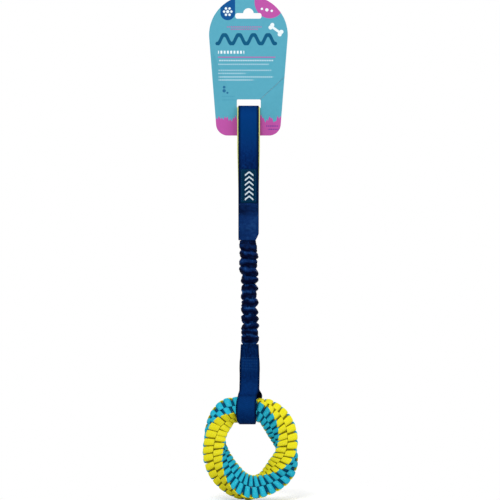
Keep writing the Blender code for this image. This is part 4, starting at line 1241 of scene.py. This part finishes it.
def draw_lace_unit(brick, fold, name):
    """Draw one wave of a cord by extruding its flat section from station to station.

    It runs along X, the length of the plait. Y is the cord's width and Z the way it crosses.
    """
    rows = lace_stations(brick, fold)
    behind = [(rows[-2][0] - brick, rows[-2][1])] + rows[:-1]
    ahead = rows[1:] + [(rows[1][0] + brick, rows[1][1])]
    runs = [math.atan2(after[1] - before[1], after[0] - before[0]) for before, after in zip(behind, ahead)]
    bpy.ops.object.select_all(action="DESELECT")
    bpy.ops.mesh.primitive_circle_add(vertices=SECTION_SIDES, radius=1.0, fill_type="NOTHING")
    piece = begin(name)
    put_down()
    # The section is a flat cushion, full in the middle and round at both edges
    _, _, thick, near, far, _ = rows[0]
    across = []
    for point in piece.data.vertices:
        x, y, _ = point.co
        across.append(math.asin(max(-1.0, min(1.0, y))) / math.pi)
        point.co = (math.copysign(abs(x) ** 0.6, x) * thick / 2,
                    (near + far) / 2 + math.copysign(abs(y) ** 0.25, y) * (far - near) / 2, 0.0)
    bpy.ops.object.mode_set(mode="EDIT")
    bpy.ops.mesh.select_all(action="SELECT")
    bpy.ops.transform.translate(value=(rows[0][0], 0.0, rows[0][1]))
    lengths = [0.0]
    for i in range(1, len(rows)):
        x0, z0, thick0, near0, far0, _ = rows[i - 1]
        x1, z1, thick1, near1, far1, _ = rows[i]
        centre = (x1, (near1 + far1) / 2, z1)
        bpy.ops.mesh.extrude_edges_move(
            TRANSFORM_OT_translate={"value": (x1 - x0, centre[1] - (near0 + far0) / 2, z1 - z0)})
        bpy.ops.transform.rotate(value=runs[i] - runs[i - 1], orient_axis="Y", center_override=centre)
        bpy.ops.transform.resize(value=(thick1 / thick0, (far1 - near1) / (far0 - near0), thick1 / thick0),
                                 center_override=centre)
        lengths.append(lengths[-1] + math.hypot(x1 - x0, z1 - z0))
    put_down()
    mesh = piece.data
    weave = mesh.uv_layers.new(name="weave")
    for corner in mesh.loops:
        row, column = divmod(corner.vertex_index, SECTION_SIDES)
        weave.data[corner.index].uv = (across[column] * CORD_WIDTH, lengths[row])
    mark(piece, "fold_middle", [rows[point.index // SECTION_SIDES][5] for point in mesh.vertices])
    return piece


MERGE_NEARER = 0.00005


def lace(ring, name, fold, column, offset, swapped, finish, slot, node):
    """One flat cord of the box stitch, closed on itself round the ring.

    Column is the side of the plait that it keeps to, offset its start as a share of a fold, and swapped
    says that it crosses the plait the other way.
    """
    brick = ring.length / FOLD_COUNT
    piece = draw_lace_unit(brick, fold, name)
    modify(piece, "ARRAY", count=FOLD_COUNT, use_relative_offset=False, use_constant_offset=True,
           constant_offset_displace=(brick, 0.0, 0.0), use_merge_vertices=True, merge_threshold=MERGE_NEARER)
    mesh = piece.data
    many = len(mesh.vertices)
    points = np.empty(many * 3)
    mesh.vertices.foreach_get("co", points)
    along, width, cross = points.reshape(-1, 3).T
    middle = np.empty(many)
    mesh.attributes["fold_middle"].data.foreach_get("value", middle)
    middle += np.round((along - middle) / brick) * brick
    # Painted shade: a fold's sides are darkened from just under its crown, and darker still down at its legs
    sides = np.clip((CROWN_FOOT - np.abs(cross)) / 0.0012, 0.0, 1.0)
    legs = np.clip((LEG_TOP - np.abs(cross)) / 0.0008, 0.0, 1.0)
    mark(piece, "painted_shade", (sides + legs) / 2)

    # No two folds are pulled quite alike: some stand out, lie off their place or tilt a little
    number = np.round((middle / brick - 0.25) * 2).astype(int) % (2 * FOLD_COUNT)
    pull = np.random.default_rng(40 + sum(map(ord, name))).normal(0.0, 1.0, (2 * FOLD_COUNT, 3))[number]
    face = np.clip((np.abs(cross) - FACE_FOOT) / 0.002, 0.0, 1.0)
    cross = cross + np.sign(cross) * face * PULL_OUT * pull[:, 0]
    shift = face * (PULL_ASIDE * pull[:, 1] + (width - 0.0067) * PULL_TILT * pull[:, 2])
    u, v = width * column, cross * column
    if swapped:
        u, v = v, u
    # Folds are squeezed on the inside of the ring's turn, and the broad ones spread at the upper left
    middle_share = (middle + offset * brick) / ring.length
    squeeze = np.minimum(ring.stretch(middle_share, u, v), 1.0) ** -0.15
    if fold is BROAD_FOLD:
        squeeze = squeeze * (1 + 0.13 * ring.near(middle_share, 146.0, 26.0))
    placed = ring.bend(middle_share + ((along - middle) * squeeze + shift) / ring.length, u, v)
    mesh.vertices.foreach_set("co", placed.ravel())
    mesh.update()
    take(piece)
    bpy.ops.object.mode_set(mode="EDIT")
    bpy.ops.mesh.select_all(action="SELECT")
    bpy.ops.mesh.remove_doubles(threshold=MERGE_NEARER)
    bpy.ops.mesh.normals_make_consistent(inside=False)
    bpy.ops.object.mode_set(mode="OBJECT")
    smooth(piece, 60.0)
    hand_over(piece, "ring", finish, slot, node)


# Stage

def seen_straight(tree):
    """Mask of the rays that see the background itself, as against those that it lights."""
    seen = add(tree, "ShaderNodeLightPath")
    straight = seen.outputs["Is Camera Ray"]
    for ray in ("Is Glossy Ray", "Is Transmission Ray"):
        straight = add(tree, "ShaderNodeMath", {0: straight, 1: seen.outputs[ray]}, operation="MAXIMUM")
    return straight


CAMERA_AWAY = 3.0
VIEW_WIDTH = 0.61


def studio():
    """Pale floor, soft lamps and the camera in the photograph's place."""
    bpy.ops.object.select_all(action="DESELECT")
    bpy.ops.mesh.primitive_plane_add(size=14.0, location=(0.0, 0.0, FLOOR_LEVEL))
    floor = bpy.context.object
    floor.name = "studio_floor"
    material = bpy.data.materials.new("pale_floor")
    material.use_nodes = True
    tree = material.node_tree
    tree.nodes.clear()
    straight = seen_straight(tree)
    # Close to the toy the floor takes its shadow, and farther off it lets the white behind it through
    coordinates = add(tree, "ShaderNodeTexCoord")
    away = add(tree, "ShaderNodeVectorMath", {0: coordinates.outputs["Object"], 1: (0.0, 0.09, 0.0)},
               operation="DISTANCE")
    far = add(tree, "ShaderNodeMapRange", {0: away, 1: 0.12, 2: 0.2}, interpolation_type="SMOOTHSTEP")
    far = add(tree, "ShaderNodeMath", {0: far, 1: straight}, operation="MULTIPLY")
    tone = add(tree, "ShaderNodeMath", {0: straight, 1: 0.39, 2: 0.66}, operation="MULTIPLY_ADD")
    paint = add(tree, "ShaderNodeCombineColor", {0: tone, 1: tone, 2: tone})
    close = add(tree, "ShaderNodeBsdfDiffuse", {"Color": paint})
    clear = add(tree, "ShaderNodeBsdfTransparent")
    both = add(tree, "ShaderNodeMixShader", {0: far, 1: close, 2: clear})
    add(tree, "ShaderNodeOutputMaterial", {"Surface": both})
    floor.data.materials.append(material)

    world = bpy.data.worlds.new("studio")
    world.use_nodes = True
    bpy.context.scene.world = world
    tree = world.node_tree
    tree.nodes.clear()
    straight = seen_straight(tree)
    level = add(tree, "ShaderNodeMath", {0: straight, 1: 0.5, 2: 0.5}, operation="MULTIPLY_ADD")
    sky = add(tree, "ShaderNodeBackground", {"Color": (1.0, 1.0, 1.0, 1.0), "Strength": level})
    add(tree, "ShaderNodeOutputWorld", {"Surface": sky})

    target = Vector((0.0, 0.0, -0.29))
    for name, place, size, power in (
            ("key", (-0.45, -1.75, 0.95), 0.8, 20.0), ("fill", (1.4, -1.5, -0.1), 1.2, 9.0),
            ("top", (0.0, 0.1, 1.3), 0.9, 9.0), ("back", (0.5, 1.6, 0.7), 1.2, 8.0)):
        lamp = bpy.data.lights.new(name, "AREA")
        lamp.size = size
        lamp.energy = power
        holder = bpy.data.objects.new(name, lamp)
        holder.location = place
        holder.rotation_euler = (target - Vector(place)).to_track_quat("-Z", "Y").to_euler()
        bpy.context.collection.objects.link(holder)

    # The photograph's frame is 610 mm wide at the toy, seen from 3 m, level with the toy's middle
    lens = bpy.data.cameras.new("camera")
    lens.sensor_fit = "HORIZONTAL"
    lens.sensor_width = 36.0
    lens.lens = lens.sensor_width * CAMERA_AWAY / VIEW_WIDTH
    lens.clip_start = 0.1
    camera = bpy.data.objects.new("camera", lens)
    camera.location = (0.00195, -CAMERA_AWAY, -0.2886)
    camera.rotation_euler = (math.pi / 2, 0.0, 0.0)
    bpy.context.collection.objects.link(camera)
    bpy.context.scene.camera = camera
    bpy.context.scene.view_settings.view_transform = "Standard"


STRAP_SEAM_TOP = -0.4195
STRAP_SEAM_PITCH = 0.0034
STRAP_SEAM_HALF = 0.0095
BACK_SEAM_HALF = 0.0105


def sew_up(path, thread):
    """The seams: round the label and the cover, across the strap, and across the handle's back."""
    rise = LINING_THICKNESS + 2 * CLEARANCE + WEBBING_THICKNESS + LABEL_THICKNESS
    outer = outward(path[len(path) // 2:], -rise)

    def on_label(z):
        return height_on(outer, z)[0]

    high, low = -HEM_DROP + LABEL_LENGTH - 0.0012, -HEM_DROP + 0.0016
    half = LABEL_WIDTH / 2 - 0.0012
    left, right = HANDLE_SHIFT - half, HANDLE_SHIFT + half
    seams = [("label_seam_left", (left, 0.0, high), (left, 0.0, low), "handle", on_label),
             ("label_seam_right", (right, 0.0, high), (right, 0.0, low), "handle", on_label),
             ("label_seam_top", (left, 0.0, high), (right, 0.0, high), "handle", on_label)]

    face = -(LAYER_HALF_GAP + WEBBING_THICKNESS + CLEARANCE + COVER_THICKNESS)
    high, low = -HEM_DROP - 0.0019, -COVER_FOOT_DROP + 0.0018
    half = COVER_WIDTH / 2 - 0.0016
    left, right = HANDLE_SHIFT - half, HANDLE_SHIFT + half
    top_left, top_right = (left, face, high), (right, face, high)
    cut_top, cut_foot = (right, face, low + COVER_CUT_HEIGHT), (right - COVER_CUT_WIDTH, face, low)
    seams += [("cover_seam_top", top_left, top_right, "handle", None),
              ("cover_seam_left", top_left, (left, face, low + 0.002), "handle", cover_dip),
              ("cover_seam_right", top_right, cut_top, "handle", cover_dip),
              ("cover_seam_foot", (left + 0.002, face, low), cut_foot, "handle", cover_dip)]

    outside = LAYER_HALF_GAP + WEBBING_THICKNESS
    left, right = STRAP_TOP_SHIFT - STRAP_SEAM_HALF, STRAP_TOP_SHIFT + STRAP_SEAM_HALF
    for side, face in (("back", outside), ("front", -outside)):
        for row in range(5):
            level = STRAP_SEAM_TOP - STRAP_SEAM_PITCH * row
            seams.append((f"strap_seam_{side}_{row + 1}", (left, face, level),
                          (right, face, level - 0.0002 * row), "strap", None))

    left, right = HANDLE_SHIFT - BACK_SEAM_HALF, HANDLE_SHIFT + BACK_SEAM_HALF
    for number, level in enumerate((-0.2345, -0.2655)):
        seams.append((f"handle_back_seam_{number + 1}", (left, outside, level), (right, outside, level),
                      "handle", None))
    for name, first, last, body, lie in seams:
        stitch_row(name, first, last, body, thread, lie)


# Painted light and shade along the webbing as the photograph shows it: lighter and darker bands by height, as
# rows of (height, colour)
HANDLE_PAINTED_SHADING = (
    (-0.275, "#04194A"), (-0.225, "#04194A"), (-0.195, "#041949"), (-0.184, "#041847"), (-0.172, "#04245E"),
    (-0.16, "#05326F"), (-0.143, "#013876"), (-0.124, "#023B7E"), (-0.117, "#013472"), (-0.1122, "#01234F"))
STRAP_PAINTED_SHADING = (
    (-0.5012, "#01123A"), (-0.498, "#032258"), (-0.490, "#03265C"), (-0.478, "#043570"), (-0.4675, "#042E66"),
    (-0.465, "#021B48"), (-0.4625, "#042860"), (-0.455, "#052B62"), (-0.442, "#021A48"), (-0.4335, "#042658"),
    (-0.4235, "#04295E"), (-0.418, "#01113A"), (-0.409, "#010D30"), (-0.4035, "#010A28"))


def main():
    studio()
    hang_card(printed_board())

    # Heavy nylon webbing is dull, with coarse floats of thread, painted shade along its edges and bands of
    # painted light and shade down its length
    navy = woven("heavy_nylon_webbing", "#0B2F68", "#021B48", "#0A3C80", 2.4, 1.2, 0.75, relief=0.35,
                 painted_shading=HANDLE_PAINTED_SHADING, edge_mm=12.0)
    strap_navy = woven("heavy_nylon_webbing_of_strap", "#0B2655", "#021942", "#083878", 2.4, 1.2, 0.75,
                       relief=0.35, painted_shading=STRAP_PAINTED_SHADING, edge_mm=12.0, painted_shade=("#01061A", "#01061A"))
    # Polyester tape and damask are finer weaves, the tape soft and the damask flat and close
    lime = woven("soft_polyester_tape", "#DADF84", "#B8C062", "#E8ECA8", 1.6, 0.8, 0.85, 0.02)
    label = woven("damask_woven_polyester", "#042A45", "#022038", "#083A56", 0.8, 0.5, 0.75, figure=chevrons)
    satin = gathered_cloth()
    # Braided elastic shows its cover threads
    rubber = woven("braided_elastic", "#D8D6CC", "#A8A69C", "#F0EEE6", 1.2, 0.8, 0.7, 0.02, 3.0, 0.5)
    # Brushed cord is soft and matt, with painted shade on the sides of its folds, and painted shade in the
    # other cord's darkened colour down on its legs
    yellow = woven("brushed_yellow_cord", "#ECE320", "#D8CF1A", "#F2EB4A", 1.8, 0.9, 0.85, 0.02, 7.0, 0.35,
                   0.3, painted_shade=("#8F8A12", "#0A4E74"))
    cyan = woven("brushed_cyan_cord", "#22B6D2", "#189FBE", "#50D0E4", 1.8, 0.9, 0.85, 0.02, 7.0, 0.35,
                 0.3, painted_shade=("#0F6F90", "#857A12"))

    path = hand_loop(navy, lime)
    label_patch(path, label)
    joint_cover(satin)
    flat_end("sleeve_upper_end", HANDLE_SHIFT, -HEM_DROP, -BEND_DROP + NECK_RADIUS + CLEARANCE,
             "handle", "bungee_upper_end", satin)
    elastic_core(rubber)
    ruched_sleeve(satin, sleeve_root(satin))
    flat_end("sleeve_lower_end", STRAP_TOP_SHIFT, -STRAP_TOP_DROP, -STRAP_TOP_DROP - STRAP_SEWN_LENGTH,
             "strap", "bungee_lower_end", satin)
    ring_strap(strap_navy)
    sew_up(path, satin)

    ring = Ring()
    lace(ring, "yellow_cord_a", BROAD_FOLD, 1, 0.0, False, yellow, "yellow_lace", "lace_yellow_a")
    lace(ring, "yellow_cord_b", BROAD_FOLD, -1, 0.0, False, yellow, "yellow_lace", "lace_yellow_b")
    lace(ring, "cyan_cord_a", ROUND_FOLD, 1, 0.25, True, cyan, "cyan_lace", "lace_cyan_a")
    lace(ring, "cyan_cord_b", ROUND_FOLD, -1, 0.25, True, cyan, "cyan_lace", "lace_cyan_b")

    # The cutters and what the operators left behind
    for old in list(bpy.data.meshes):
        if old.users == 0:
            bpy.data.meshes.remove(old)


main()
bpy.context.view_layer.update()
